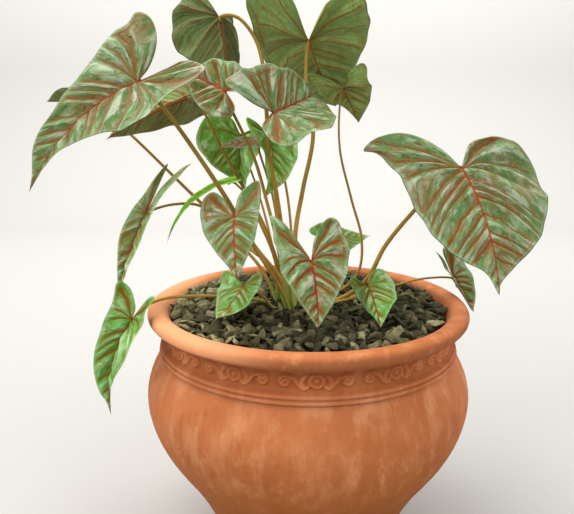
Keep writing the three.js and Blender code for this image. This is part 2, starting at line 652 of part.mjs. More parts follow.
    name: "right", skin: bladeSilver, stalk: [2.9, 1.8], root: [9, -6.5],
    path: [[35, -10, 286], [62, -12, 307], [81, -16, 346], [107, -26, 384], [134, -38, 418]],
    notch: [148.4, -38.2, 427.7], tip: [159.1, -129.5, 324.5], face: [14.2, 38.4], width: 184.7,
    lobes: [50.5, 71.4], lift: [29.4, -12.8], fold: [-5.8, -12], curl: [-6.9, -37.9], droop: 14.2,
    twist: 0, wave: 3, sway: -6.1,
    left: [[0, 0], [0.28, -0.66], [0.46, -0.8], [0.7, -0.91], [0.85, -0.89], [1.02, -0.78],
    [1.1, -0.11], [1.05, 0.1], [0.75, 0.43], [0.57, 0.59], [0.03, 0.92], [0, 1]],
    right: [[0, 0], [0.18, -0.74], [0.29, -0.89], [0.41, -0.97], [0.57, -0.99], [0.78, -0.86],
    [0.69, -0.72], [0.59, 0.43], [0.46, 0.61], [0.29, 0.75], [0.11, 0.85], [0, 1]],
  },
  {
    name: "right_small", skin: bladeSilver, stalk: [1.7, 1.1], root: [18, 1],
    path: [[38, 2, 281], [70, 6, 291], [98, 10, 296], [130, 16, 302]],
    notch: [166, 22, 302], tip: [184, 0, 268], face: [20, 22], width: 38, lobes: [36, 34], lift: [0, 0],
    fold: [45, 50], curl: [0, 0], droop: 10, twist: 0, wave: 1, sway: 0, left: HEART, right: HEART,
  },
];

addMesh("pot", makePot(), terracotta);
addMesh("potting_soil", makeSoil(), soilDark);
addMesh("mulch", makeMulch(), mulchChips);
addMesh("crown", makeCrown(), crownSkin);
for (const leaf of LEAVES) {
  addMesh(`stalk_${leaf.name}`, makeStalk(leaf), stalkSkin);
  addMesh(`blade_${leaf.name}`, makeBlade(leaf), leaf.skin);
}

export default plant;
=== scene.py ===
# A potted foliage plant: heart-shaped, red-veined leaves on long stalks, which rise from one crown
# in a wide terracotta pot with a rolled rim, a moulded frieze and a mulch of dark chips.
# Sizes are given in millimetres as on the drawing, and a mesh is made in metres.
import itertools
from math import cos, dist, pi, radians, sin
from types import SimpleNamespace

import bpy
import numpy as np
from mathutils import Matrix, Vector
from mathutils.geometry import delaunay_2d_cdt


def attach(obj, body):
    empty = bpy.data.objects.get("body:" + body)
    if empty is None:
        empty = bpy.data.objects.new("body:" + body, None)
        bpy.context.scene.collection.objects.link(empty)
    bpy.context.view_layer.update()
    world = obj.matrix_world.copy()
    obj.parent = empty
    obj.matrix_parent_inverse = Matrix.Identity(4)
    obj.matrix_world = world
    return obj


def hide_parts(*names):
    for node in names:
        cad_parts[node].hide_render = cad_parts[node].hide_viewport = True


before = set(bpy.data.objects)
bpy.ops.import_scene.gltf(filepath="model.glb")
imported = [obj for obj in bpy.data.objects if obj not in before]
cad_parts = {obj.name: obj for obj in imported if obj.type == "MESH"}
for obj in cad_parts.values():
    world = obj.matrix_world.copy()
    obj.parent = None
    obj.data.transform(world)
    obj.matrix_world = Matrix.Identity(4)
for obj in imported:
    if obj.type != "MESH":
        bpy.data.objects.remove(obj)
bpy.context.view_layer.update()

# ------------------------------------------------------------
# The studio: a plain pale floor that sweeps up into a wall, a large soft light overhead, weaker
# ones in front, at the left and for the wall, and a camera a little above the rim of the pot,
# tipped slightly down. The lights and the camera are placed in metres.
FLOOR_NEAR, FLOOR_FAR, SWEEP, WALL_TOP, HALF_WIDTH = -2500, 2200, 900, 3600, 4000
CAMERA_PLACE, CAMERA_TILT, CAMERA_LENS, CAMERA_SENSOR = (-0.022, -0.582, 0.455), 12.1, 34.56, 36

scene = bpy.context.scene
camera_data = bpy.data.cameras.new("camera")
camera_data.sensor_width = CAMERA_SENSOR
camera_data.lens = CAMERA_LENS
camera = bpy.data.objects.new("camera", camera_data)
camera.location = CAMERA_PLACE
camera.rotation_euler = (radians(90 - CAMERA_TILT), 0, 0)
scene.collection.objects.link(camera)
scene.camera = camera
scene.view_settings.view_transform = "Standard"


def paint(red, green, blue):
    """A colour as seen on a screen, 0 to 255, as the linear value that a shader takes."""
    seen = [c / 255 for c in (red, green, blue)]
    return (*[c / 12.92 if c < 0.04045 else ((c + 0.055) / 1.055) ** 2.4 for c in seen], 1.0)


def add_light(name, place, aim, size, power, colour, height=None):
    """A soft panel light at a place, turned to what it lights; it is square if it has no height."""
    data = bpy.data.lights.new(name, "AREA")
    data.shape = "RECTANGLE"
    data.size, data.size_y, data.energy, data.color = size, height or size, power, colour
    light = bpy.data.objects.new(name, data)
    light.location = place
    light.rotation_euler = (Vector(aim) - Vector(place)).to_track_quat("-Z", "Y").to_euler()
    scene.collection.objects.link(light)


add_light("overhead", (-0.5, -0.05, 1.7), (0, 0, 0.3), 1.0, 15, (1.0, 0.99, 0.97))
add_light("front_left", (-1.2, -1.4, 1.6), (0, 0, 0.3), 0.8, 18, (1.0, 0.98, 0.95))
add_light("front_right", (1.4, -1.2, 1.4), (0, 0, 0.3), 0.8, 13, (0.98, 0.99, 1.0))
add_light("backdrop", (0, 1.2, 2.8), (0, 3.1, 0.9), 6.0, 198, (1.0, 0.995, 0.98), 1.2)
add_light("left", (-1.5, -0.1, 0.75), (0, 0, 0.3), 0.6, 2, (1.0, 0.98, 0.95))

world = bpy.data.worlds.new("surround")
world.use_nodes = True
surround = world.node_tree.nodes["Background"].inputs
surround["Color"].default_value = paint(250, 249, 246)
surround["Strength"].default_value = 0.68
scene.world = world


def add_mesh(name, points, faces, material):
    """A smooth mesh object in metres from points in mm."""
    mesh = bpy.data.meshes.new(name)
    mesh.from_pydata(np.asarray(points, float) / 1000, [], faces)
    mesh.polygons.foreach_set("use_smooth", np.full(len(mesh.polygons), True))
    mesh.materials.append(material)
    mesh.update()
    piece = bpy.data.objects.new(name, mesh)
    scene.collection.objects.link(piece)
    return piece


floor_paint = bpy.data.materials.new("floor_paint")
floor_paint.use_nodes = True
floor_shader = floor_paint.node_tree.nodes["Principled BSDF"].inputs
floor_shader["Base Color"].default_value = paint(177, 176, 173)
floor_shader["Roughness"].default_value = 0.9
sweep = [(FLOOR_NEAR, 0), (FLOOR_FAR, 0)]
for a in np.linspace(0, pi / 2, 17)[1:]:
    sweep.append((FLOOR_FAR + SWEEP * sin(a), SWEEP * (1 - cos(a))))
sweep.append((FLOOR_FAR + SWEEP, WALL_TOP))
points = [(side * HALF_WIDTH, y, z) for y, z in sweep for side in (-1, 1)]
faces = [(2 * i, 2 * i + 1, 2 * i + 3, 2 * i + 2) for i in range(len(sweep) - 1)]
floor = add_mesh("floor", points, faces, floor_paint)

# ------------------------------------------------------------
# The pot: terracotta, thrown or pressed in one piece and fired unglazed. A narrow foot, a full
# belly, a double bead, a short neck with a moulded scroll frieze and a thick rolled rim. Three
# drainage holes go through the floor.
POT_TURNS, POT_INSIDE = 864, 20  # points round the pot, and points of its outline inside the rim
BODY = [(86, 0), (88.6, 1), (90.4, 4), (99, 24), (112, 52), (125, 79), (138, 102), (151, 122)]
BODY += [(163, 143), (171, 164), (174.5, 184), (173, 202), (166.5, 220), (159.5, 232), (157, 236.2)]
BEAD_RADIUS = 2.3
BEADS = [(157.6, 238.3), (156.6, 243.1)]
NECK = [(153.2, 246.4), (151.4, 250), (151, 256), (151.6, 262), (153.2, 265.6), (156.5, 267.6)]
RIM = [(161, 268.4), (166, 270.6), (169.4, 274.2), (170.4, 278), (169.4, 281.6), (166.4, 284.2)]
RIM += [(162, 285), (156.8, 284.2), (152.2, 281.6), (149, 277), (146.6, 270), (143.4, 262)]
WALL = [(141.4, 245), (150, 224), (159, 204), (161, 184), (157, 162), (145, 132), (120, 90)]
WALL += [(98, 50), (82, 20), (76, 12)]
FRIEZE_LOW, FRIEZE_HIGH, FRIEZE_RADIUS, FRIEZE_HEIGHT = 246.5, 265.5, 151.3, 3.3
FRIEZE_REPEATS, FRIEZE_START = 13, 1.1  # motifs round the neck, and where the first one is
LINE_WIDTH, ROSETTE_RADIUS, ROSETTE_RING, ROSETTE_EYE, WOBBLE = 1.45, 5.9, 1.15, 2.3, 0.35
DRAIN_HOLES, DRAIN_RADIUS, DRAIN_CIRCLE, DRAIN_SIDES = 3, 7, 48, 24


def through(points, count):
    """Points evenly spaced along a smooth curve through the given ones (centripetal spline)."""
    p = np.asarray(points, float)
    p = np.vstack([2 * p[0] - p[1], p, 2 * p[-1] - p[-2]])
    dense = [p[1]]
    for a, b, c, d in zip(p[:-3], p[1:-2], p[2:-1], p[3:]):
        ab, bc, cd = (max(1e-6, dist(u, v)) ** 0.5 for u, v in ((a, b), (b, c), (c, d)))
        out = ((b - a) / ab - (c - a) / (ab + bc) + (c - b) / bc) * bc
        into = ((c - b) / bc - (d - b) / (bc + cd) + (d - c) / cd) * bc
        t = np.linspace(0, 1, 33)[1:, None]
        square, cube = 3 * (c - b) - 2 * out - into, 2 * (b - c) + out + into
        dense += list(b + out * t + square * t**2 + cube * t**3)
    dense = np.array(dense)
    run = np.concatenate([[0], np.cumsum(np.linalg.norm(np.diff(dense, axis=0), axis=1))])
    want = np.linspace(0, run[-1], count) if np.isscalar(count) else np.asarray(count) * run[-1]
    return np.stack([np.interp(want, run, dense[:, k]) for k in range(p.shape[1])], 1)


def scroll_lines():
    """The raised lines of one motif, in mm from its middle: an S from the rosette to a volute."""
    curl = [
        (26.5 + r * cos(a), -0.6 + r * sin(a))
        for a, r in zip(np.linspace(2.4, -6.2, 40), np.linspace(5.6, 0.9, 40))
    ]
    right = np.array([(7.2, -5.2), (10.5, -6.6), (13.6, -5.2), (16.5, -1.4), (19.0, 2.0), *curl])
    leaf = np.array([(10.8, -6.2), (12.6, -1.6), (11.4, 2.4), (9.4, 4.6)])
    lines = []
    for line in (through(right, 90), through(leaf, 20)):
        lines += [line, line * (-1, 1)]
    return lines


def frieze(angle, z):
    """How far the neck's mouldings stand out at each angle and height, in mm."""
    period = 2 * pi / FRIEZE_REPEATS
    near = (angle - radians(FRIEZE_START) + period / 2) % period - period / 2
    u, w = near * FRIEZE_RADIUS, z - (FRIEZE_LOW + FRIEZE_HIGH) / 2
    raised = np.zeros_like(w)
    for line in scroll_lines():
        gap = np.full(w.shape, 99.0)
        for x, y in line:
            gap = np.minimum(gap, np.hypot(u - x, w - y))
        raised = np.maximum(raised, np.exp(-((gap / LINE_WIDTH) ** 2)))
    r = np.hypot(u, w * 1.05)
    rosette = np.exp(-(((r - ROSETTE_RADIUS) / ROSETTE_RING) ** 2))
    rosette = rosette + 0.9 * np.exp(-((r / ROSETTE_EYE) ** 2))
    return FRIEZE_HEIGHT * np.maximum(raised, np.minimum(1, rosette))


def bead(middle, first, last):
    """The points of a round moulding, from one angle to another about its middle."""
    turn = np.radians(np.linspace(first, last, 7))
    return np.stack([middle[0] + BEAD_RADIUS * np.cos(turn), middle[1] + BEAD_RADIUS * np.sin(turn)], 1)


def ring_faces(first, rings, count):
    """Faces between rings of points, one after the other from a first point on."""
    ring, faces = np.arange(count), []
    after = (ring + 1) % count
    for low in range(first, first + (rings - 1) * count, count):
        high = low + count
        faces += np.stack([low + ring, low + after, high + after, high + ring], 1).tolist()
    return faces


def add_values(piece, name, values):
    """Stores a number or a vector with each point of a piece, for its material to read."""
    values = np.asarray(values, np.float32)
    kind, field = ("FLOAT", "value") if values.ndim == 1 else ("FLOAT_VECTOR", "vector")
    piece.data.attributes.new(name, kind, "POINT").data.foreach_set(field, values.ravel())


def plug(sockets, values):
    """Sets sockets to numbers and colours, or links signals to them; a list holds several."""
    for name, value in values.items():
        for each in value if isinstance(value, list) else [value]:
            if isinstance(each, Signal):
                each.tree.links.new(each.socket, sockets[name])
            else:
                sockets[name].default_value = each


class Signal:
    """A socket of a node tree, which can be used in sums with numbers and other signals."""

    def __init__(self, tree, socket=None):
        self.tree, self.socket = tree, socket

    def node(self, kind, settings=None, inputs=None, out=0):
        """A node of any type: its settings first, then the values or links of its sockets."""
        made = self.tree.nodes.new(kind)
        for name, value in (settings or {}).items():
            setattr(made, name, value)
        plug(made.inputs, inputs or {})
        return Signal(self.tree, made.outputs[out])

    def math(self, operation, *others):
        return self.node("ShaderNodeMath", {"operation": operation}, dict(enumerate((self, *others))))

    def __add__(self, other):
        return self.math("ADD", other)

    def __sub__(self, other):
        return self.math("SUBTRACT", other)

    def __rsub__(self, other):
        return self.node("ShaderNodeMath", {"operation": "SUBTRACT"}, {0: other, 1: self})

    def __mul__(self, other):
        return self.math("MULTIPLY", other)

    def __truediv__(self, other):
        return self.math("DIVIDE", other)

    __radd__, __rmul__ = __add__, __mul__

    def vector(self, operation, *others, out=0):
        inputs = dict(enumerate((self, *others)))
        return self.node("ShaderNodeVectorMath", {"operation": operation}, inputs, out)

    def step(self, low, high):
        """Goes smoothly from 0 at low to 1 at high, and the other way when low is the larger."""
        ends = {"From Min": low, "From Max": high}
        if low > high:
            ends = {"From Min": high, "From Max": low, "To Min": 1.0, "To Max": 0.0}
        smooth = {"interpolation_type": "SMOOTHSTEP"}
        return self.node("ShaderNodeMapRange", smooth, {"Value": self, **ends})

    def blend(self, first, second):
        """The first colour where this is 0 and the second where it is 1."""
        return self.node("ShaderNodeMix", {"data_type": "RGBA"}, {0: self, 6: first, 7: second}, 2)

    def noise(self, scale, detail=3.0, stretch=(1, 1, 1), rough=0.55, shift=(0, 0, 0)):
        """Cloudy noise about 0.5, on this vector, with features 1/scale metres wide."""
        mapping = {"Vector": self, "Scale": stretch, "Location": shift}
        placed = self.node("ShaderNodeMapping", None, mapping)
        inputs = {"Vector": placed, "Scale": scale, "Detail": detail, "Roughness": rough}
        return self.node("ShaderNodeTexNoise", None, inputs)

    def parts(self):
        """The three numbers of this vector."""
        split = self.node("ShaderNodeSeparateXYZ", None, {0: self}).socket.node
        return [Signal(self.tree, socket) for socket in split.outputs]

    def attribute(self, name, out=2):
        """The number, or as output 1 the vector, that a mesh stores with its points."""
        return self.node("ShaderNodeAttribute", {"attribute_name": name}, out=out)


def layered(colour, *layers):
    """A colour with others laid over it in turn, each as strongly as its mask says."""
    for mask, over in layers:
        colour = mask.blend(colour, over)
    return colour


def new_material(name):
    """A node material, and the place of a point in it as a Signal."""
    material = bpy.data.materials.new(name)
    material.use_nodes = True
    return material, Signal(material.node_tree).node("ShaderNodeTexCoord", out=3)


def finish(material, colour, roughness, relief, depth, strength=1.0, gloss=0.5):
    """Gives a material its colour, its roughness and its relief, 0 to 1 and depth metres deep."""
    bump = {"Height": relief, "Distance": depth, "Strength": strength}
    plug(material.node_tree.nodes["Principled BSDF"].inputs, {
        "Base Color": colour, "Roughness": roughness, "Specular IOR Level": gloss,
        "Normal": relief.node("ShaderNodeBump", None, bump),
    })


terracotta, place = new_material("terracotta")
x, y, height = place.parts()
low_belly, rim = height.step(0.24, 0.16), height.step(0.27, 0.276)
# The rim's outer face below its top, painted darker as painted shade, so that the top of the rim stays
# lighter.
rim_face_painted_shade = height.step(0.268, 0.272) * height.step(0.284, 0.279)
neck = height.step(0.2435, 0.2465) * height.step(0.2715, 0.267)
# Thin lines at the grooves beside the double bead, painted darker as painted shade.
bead_groove_shade = [(height - z).math("ABSOLUTE").step(0.0011, 0.0002) for z in (0.2407, 0.2358)]
streaks = place.noise(62, 5, (1, 1, 0.16), 0.6)
broad = place.noise(9, 3, (1, 1, 0.5), 0.5, (3, 1, 7))
blotches = place.noise(34, 4, (1, 1, 0.45), 0.62, (7, 2, 5))
grain = place.noise(650, 3, rough=0.7)
mottle = place.noise(75, 6, (1, 1, 0.7), 0.72, (4, 8, 1))
scuffs = place.noise(48, 5, (1, 1, 1), 0.7, (6, 3, 9))
crack_line = place.noise(21, 2, (1, 1, 0.07), 0.4, (1.7, 4.2, 0)) - 0.5
crack_where = place.noise(16, 2, (1, 1, 0.5), 0.5, (9, 5, 2)).step(0.56, 0.64)
cracks = crack_line.math("ABSOLUTE").step(0.003, 0.0008) * crack_where * height.step(0.236, 0.228)
# The left part of the rim is painted lighter: painted light on that side of the rim.
rim_left_painted_light = (x * -0.8 + y * -0.2).step(0.05, 0.11)
clay = layered(
    paint(172, 99, 55),
    (broad.step(0.3, 0.7), paint(191, 115, 70)),
    (blotches.step(0.48, 0.72) * 0.6, paint(208, 142, 100)),
    (streaks.step(0.5, 0.74) * 0.6 * height.step(0.262, 0.225), paint(212, 152, 110)),
    (blotches.step(0.46, 0.3) * 0.5, paint(156, 82, 44)),
    (mottle.step(0.5, 0.68) * height.step(0.23, 0.16) * 0.55, paint(224, 160, 112)),
    (mottle.step(0.48, 0.32) * low_belly * 0.5, paint(140, 70, 24)),
    # Painted shade on the rim's outer face.
    (rim_face_painted_shade * 0.8, paint(150, 86, 48)),
    (scuffs.step(0.5, 0.75) * rim * 0.5, paint(222, 156, 108)),
    (scuffs.step(0.45, 0.3) * rim * 0.45, paint(136, 72, 34)),
    # Painted light on the left of the rim.
    (rim_left_painted_light * rim * 0.75, paint(244, 172, 122)),
    (height.step(0.225, 0.1) * 0.9, paint(152, 83, 24)),
    # Painted shade in the recesses of the neck frieze, between its raised lines.
    (place.attribute("raised").step(0.6, 0.05) * neck * 0.4, paint(128, 64, 22)),
    # Painted shade in the bead grooves.
    ((bead_groove_shade[0] + bead_groove_shade[1]) * 0.5, paint(120, 62, 34)),
    (grain.step(0.6, 0.75) * 0.22, paint(140, 78, 46)),
    (cracks * 0.45, paint(120, 66, 40)),
)
relief = grain * 0.25 + streaks * 0.5 + blotches * 0.5 - cracks * 0.6
finish(terracotta, clay, 0.7 + streaks * 0.18, relief, depth=0.0006, strength=0.7, gloss=0.2)

outline = np.array([
    *through(BODY, 38), *bead(BEADS[0], -66, 68), *bead(BEADS[1], -66, 80),
    *through(NECK, 29), *through(RIM, 22), *through(WALL, 9),
])
turns = np.linspace(0, 2 * pi, POT_TURNS, endpoint=False)
radius, level = (np.repeat(outline[:, k : k + 1], POT_TURNS, 1) for k in (0, 1))
on_neck = [i for i, (r, z) in enumerate(outline) if FRIEZE_LOW - 2 < z < FRIEZE_HIGH + 2 and r > 150]
band = slice(on_neck[0], on_neck[-1] + 1)
relief = frieze(turns, level[band])
radius[band] += relief
raised = np.zeros_like(radius)
raised[band] = relief / FRIEZE_HEIGHT
outside = level[:-POT_INSIDE]
radius[:-POT_INSIDE] += WOBBLE * np.sin(3 * turns + outside / 31) * np.sin(outside / 47)
points = np.stack([radius * np.sin(turns), -radius * np.cos(turns), level], 2).reshape(-1, 3).tolist()
faces = ring_faces(0, len(outline), POT_TURNS)
drains = [
    (DRAIN_CIRCLE * cos(turn), DRAIN_CIRCLE * sin(turn))
    for turn in np.linspace(0, 2 * pi, DRAIN_HOLES, endpoint=False)
]


def floor_disc(first, upward):
    """Adds a flat disc inside one ring of the pot, and gives its loops around the drainage holes."""
    loops = [list(range(first, first + POT_TURNS))]
    for x, y in drains:
        loops.append(list(range(len(points), len(points) + DRAIN_SIDES)))
        for a in np.linspace(0, 2 * pi, DRAIN_SIDES, endpoint=False):
            across, ahead = DRAIN_RADIUS * cos(a), DRAIN_RADIUS * sin(a)
            points.append([x + across, y + ahead, points[first][2]])
    ids, edges = [i for loop in loops for i in loop], []
    for loop in loops:
        at = len(edges)
        edges += [(at + k, at + (k + 1) % len(loop)) for k in range(len(loop))]
    flat = [Vector(points[i][:2]) for i in ids]
    triangles, origins = delaunay_2d_cdt(flat, edges, [], 1, 1e-7)[2:4]
    for triangle in triangles:
        corners = [ids[origins[v][0]] for v in triangle]
        a, b, c = (np.array(points[k][:2]) for k in corners)
        if min(dist((a + b + c) / 3, drain) for drain in drains) < DRAIN_RADIUS * 0.98:
            continue
        turned = (b - a)[0] * (c - a)[1] > (b - a)[1] * (c - a)[0]
        faces.append(corners if turned == upward else corners[::-1])
    return loops[1:]


under = floor_disc(0, False)
inner = floor_disc((len(outline) - 1) * POT_TURNS, True)
for below, above in zip(under, inner):
    for k in range(DRAIN_SIDES):
        n = (k + 1) % DRAIN_SIDES
        faces.append((below[k], above[k], above[n], below[n]))
pot = add_mesh("terracotta_pot", points, faces, terracotta)
add_values(pot, "raised", np.pad(raised.ravel(), (0, len(points) - raised.size)))
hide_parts("pot")
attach(pot, "root")

# ------------------------------------------------------------
# The potting soil: a dark, fibrous, peaty mix that fills the pot to just under the mulch. Its
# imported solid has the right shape, so it stays and takes this finish.
soil_paint, place = new_material("potting_soil")
crumbs, lumps = place.noise(420, 4, rough=0.7), place.noise(90, 3)
soil_colour = layered(
    paint(46, 34, 26),
    (lumps.step(0.35, 0.65), paint(74, 56, 40)),
    (crumbs.step(0.6, 0.7) * 0.6, paint(120, 96, 66)),
)
finish(soil_paint, soil_colour, 0.95, crumbs * 0.5 + lumps, depth=0.003)
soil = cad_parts["potting_soil"]
soil.data.materials.clear()
soil.data.materials.append(soil_paint)

# ------------------------------------------------------------
# The mulch: dark grey-green chips with rounded corners, 9 to 15 mm long and slightly cupped,
# poured loose over a dark bed on the soil, so they lie and lean at all angles round the crown.
BED_RADIUS, BED_LEVEL, BED_SIDES, BED_DEPTH, BED_EDGE = 147.0, 274.5, 72, 5, 2.5
CROWN_CENTRE, CROWN_CLEAR = (-12.0, 0.0), 20.0

chip_paint, place = new_material("mulch_chips")
fibres, pits = place.noise(260, 4, (1, 1, 2.2), 0.6), place.noise(900, 2)
# Chips towards the left of the pot get a lighter tone: painted light on that side of the mulch.
tone = place.attribute("tone") + place.parts()[0].step(-0.02, -0.12) * 0.45
shade = tone.node("ShaderNodeValToRGB", None, {0: tone})
shades = [
    (0.0, paint(34, 33, 18)), (0.4, paint(58, 56, 34)), (0.7, paint(84, 79, 53)),
    (0.92, paint(118, 111, 80)), (1.0, paint(158, 151, 110)),
]
stops = shade.socket.node.color_ramp.elements
for at, colour in shades[1:-1]:
    stops.new(at).color = colour
stops[0].color, stops[-1].color = shades[0][1], shades[-1][1]
chip_colour = layered(
    shade,
    (place.attribute("tint").step(0.82, 0.98) * 0.5, paint(118, 118, 70)),
    (fibres.step(0.42, 0.62) * 0.5, paint(46, 46, 34)),
    (pits.step(0.6, 0.75) * 0.35, paint(132, 126, 104)),
)
relief = fibres + pits * 0.3
finish(chip_paint, chip_colour, 0.6 + fibres * 0.25, relief, depth=0.0012, strength=0.8, gloss=0.12)
bed_paint, place = new_material("mulch_bed")
dust = place.noise(300, 4)
dusty = dust.step(0.4, 0.7).blend(paint(24, 23, 17), paint(52, 50, 38))
finish(bed_paint, dusty, 0.95, dust, depth=0.003)


class Tree:
    """A geometry node tree in the making, with a named input for each of its sizes."""

    def __init__(self, name, sizes):
        self.tree, self.sizes = bpy.data.node_groups.new(name, "GeometryNodeTree"), sizes
        add = self.tree.interface.new_socket
        add("Geometry", in_out="INPUT", socket_type="NodeSocketGeometry")
        add("Geometry", in_out="OUTPUT", socket_type="NodeSocketGeometry")
        for size, value in sizes.items():
            kind = "NodeSocketInt" if isinstance(value, int) else "NodeSocketFloat"
            add(size, in_out="INPUT", socket_type=kind).default_value = value
        source = self.tree.nodes.new("NodeGroupInput")
        self.inputs = {each.name: Signal(self.tree, each) for each in source.outputs if each.name}

    def finish(self, geometry):
        self.tree.links.new(geometry.socket, self.tree.nodes.new("NodeGroupOutput").inputs[0])

    def applied(self, piece):
        """The plain mesh that this tree makes of a piece, with its sizes as they are named."""
        modifier = piece.modifiers.new("made", "NODES")
        modifier.node_group = self.tree
        for item in self.tree.interface.items_tree:
            if item.in_out == "INPUT" and item.name in self.sizes:
                modifier[item.identifier] = self.sizes[item.name]
        seen = piece.evaluated_get(bpy.context.evaluated_depsgraph_get())
        mesh = bpy.data.meshes.new_from_object(seen)
        piece.modifiers.clear()
        piece.data = mesh
        return piece


def chip_shape(start, k):
    """One of the chips' shapes: a ball pushed out of round, flattened and cupped along its length."""
    ball = start.node("GeometryNodeMeshIcoSphere", None, {"Radius": 1.0, "Subdivisions": 2})
    where = start.node("GeometryNodeInputPosition")
    inputs = {"Vector": where, "W": 3.7 * k + 1, "Scale": 0.8, "Detail": 0.6}
    lump = start.node("ShaderNodeTexNoise", {"noise_dimensions": "4D"}, inputs, "Color")
    pushed = where.vector("ADD", lump.vector("MULTIPLY_ADD", (1.5, 1.5, 1.5), (-0.75, -0.75, -0.75)))
    flat = pushed.vector("MULTIPLY", (1.0, 0.82 + 0.06 * k, 0.22 + 0.04 * k))
    x = flat.parts()[0]
    cupped = flat.vector("ADD", x.node("ShaderNodeCombineXYZ", None, {2: x * x * -0.34}))
    return ball.node("GeometryNodeSetPosition", None, {"Geometry": ball, "Position": cupped})


def chip_scatter():
    """A tree that strews cupped chips on a surface, in random sizes, turns and tones."""
    tree = Tree("chip_scatter", {
        "Spacing": 0.0058, "Half Length": 0.0076, "Lift": 0.0036, "Crown X": CROWN_CENTRE[0] / 1000,
        "Clear": CROWN_CLEAR / 1000, "Seed": 11,
    })
    size = tree.inputs
    start, seed = size["Geometry"], size["Seed"]
    shapes = [chip_shape(start, k) for k in (3, 2, 1, 0)]
    points = start.node("GeometryNodeDistributePointsOnFaces", {"distribute_method": "POISSON"}, {
        "Mesh": start, "Distance Min": size["Spacing"], "Density Max": 60000.0, "Seed": seed,
    }, "Points")
    crown = start.node("ShaderNodeCombineXYZ", None, {0: size["Crown X"]})
    apart = start.node("GeometryNodeInputPosition").vector("SUBTRACT", crown)
    reach = apart.vector("MULTIPLY", (1, 1, 0)).vector("LENGTH", out="Value")
    close = start.node("FunctionNodeCompare", {"operation": "LESS_THAN"}, {0: reach, 1: size["Clear"]})
    inputs = {"Geometry": points, "Selection": close}
    kept = start.node("GeometryNodeDeleteGeometry", {"domain": "POINT"}, inputs)

    def draw(low, high, salt, kind="FLOAT"):
        """A random value for each chip; the salt keeps it apart from the others."""
        first, out = {"FLOAT": (2, 1), "FLOAT_VECTOR": (0, 0), "INT": (4, 2)}[kind]
        inputs = {first: low, first + 1: high, "Seed": seed + salt}
        return start.node("FunctionNodeRandomValue", {"data_type": kind}, inputs, out)

    for name, salt in (("tone", 1), ("tint", 2)):
        inputs = {"Geometry": kept, "Name": name, "Value": draw(0.0, 1.0, salt)}
        store = {"data_type": "FLOAT", "domain": "POINT"}
        kept = start.node("GeometryNodeStoreNamedAttribute", store, inputs)
    up = start.node("ShaderNodeCombineXYZ", None, {2: size["Lift"] * draw(-0.2, 1.4, 3)})
    kept = start.node("GeometryNodeSetPosition", None, {"Geometry": kept, "Offset": up})
    turn = draw((-1.35, -1.0, 0), (1.35, 1.0, 6.28), 4, "FLOAT_VECTOR")
    placed = start.node("GeometryNodeInstanceOnPoints", None, {
        "Points": kept, "Instance": start.node("GeometryNodeGeometryToInstance", None, {0: shapes}),
        "Pick Instance": True, "Instance Index": draw(0, 3, 6, "INT"),
        "Rotation": start.node("FunctionNodeEulerToRotation", None, {0: turn}),
        "Scale": size["Half Length"] * draw(0.68, 1.12, 5),
    })
    real = start.node("GeometryNodeRealizeInstances", None, {0: placed})
    smooth = start.node("GeometryNodeSetShadeSmooth", None, {"Geometry": real, "Shade Smooth": True})
    inputs = {"Geometry": smooth, "Material": chip_paint}
    tree.finish(start.node("GeometryNodeSetMaterial", None, inputs))
    return tree


def bed_disc(name, reach, level, rings, material):
    """A low, uneven disc with a rounded edge, closed underneath."""
    made, sides = [(0.0, 0.0, level)], []
    for i in range(1, rings + 1):
        r = reach * i / rings
        for k in range(BED_SIDES):
            a = 2 * pi * k / BED_SIDES
            x, y = r * sin(a), r * cos(a)
            bump = 1.2 * sin(x / 17 + 1) * sin(y / 13)
            bump += 0.8 * sin(x / 7) * sin(y / 8 + 2)
            made.append((x, y, level + bump - (BED_EDGE if i == rings else 0)))
    for k in range(BED_SIDES):
        n = (k + 1) % BED_SIDES
        sides.append((0, 1 + n, 1 + k))
        for low in range(1, 1 + (rings - 1) * BED_SIDES, BED_SIDES):
            sides.append((low + k, low + n, low + BED_SIDES + n, low + BED_SIDES + k))
    first, last = len(made) - BED_SIDES, len(made)
    made.append((0.0, 0.0, level - BED_DEPTH))
    sides += [(last, first + k, first + (k + 1) % BED_SIDES) for k in range(BED_SIDES)]
    return add_mesh(name, made, sides, material)


bed = bed_disc("mulch_bed", BED_RADIUS, BED_LEVEL + 1.5, 20, bed_paint)
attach(bed, "root")
chips = bed_disc("mulch_chips", BED_RADIUS - 3.5, BED_LEVEL + 2.0, 14, chip_paint)
chips = chip_scatter().applied(chips)
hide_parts("mulch")
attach(chips, "root")

# ------------------------------------------------------------
# The crown: the short, knobbly stem that the stalks grow from, ringed with the scars of old
# leaves and set in the soil, with only its top showing among the mulch.
CROWN_TOP, CROWN_DEPTH, CROWN_RADIUS, CROWN_RINGS, CROWN_SIDES = 266.0, 34.0, 27.0, 23, 48

crown_skin, place = new_material("crown_skin")
fibres, lumps = place.noise(240, 4, (1, 1, 0.3), 0.65), place.noise(70, 3)
crown_colour = layered(
    paint(96, 84, 44),
    (lumps.step(0.35, 0.65), paint(128, 112, 62)),
    (fibres.step(0.5, 0.66) * 0.6, paint(74, 60, 36)),
)
finish(crown_skin, crown_colour, 0.75, fibres + lumps * 0.5, depth=0.0016, strength=0.8)

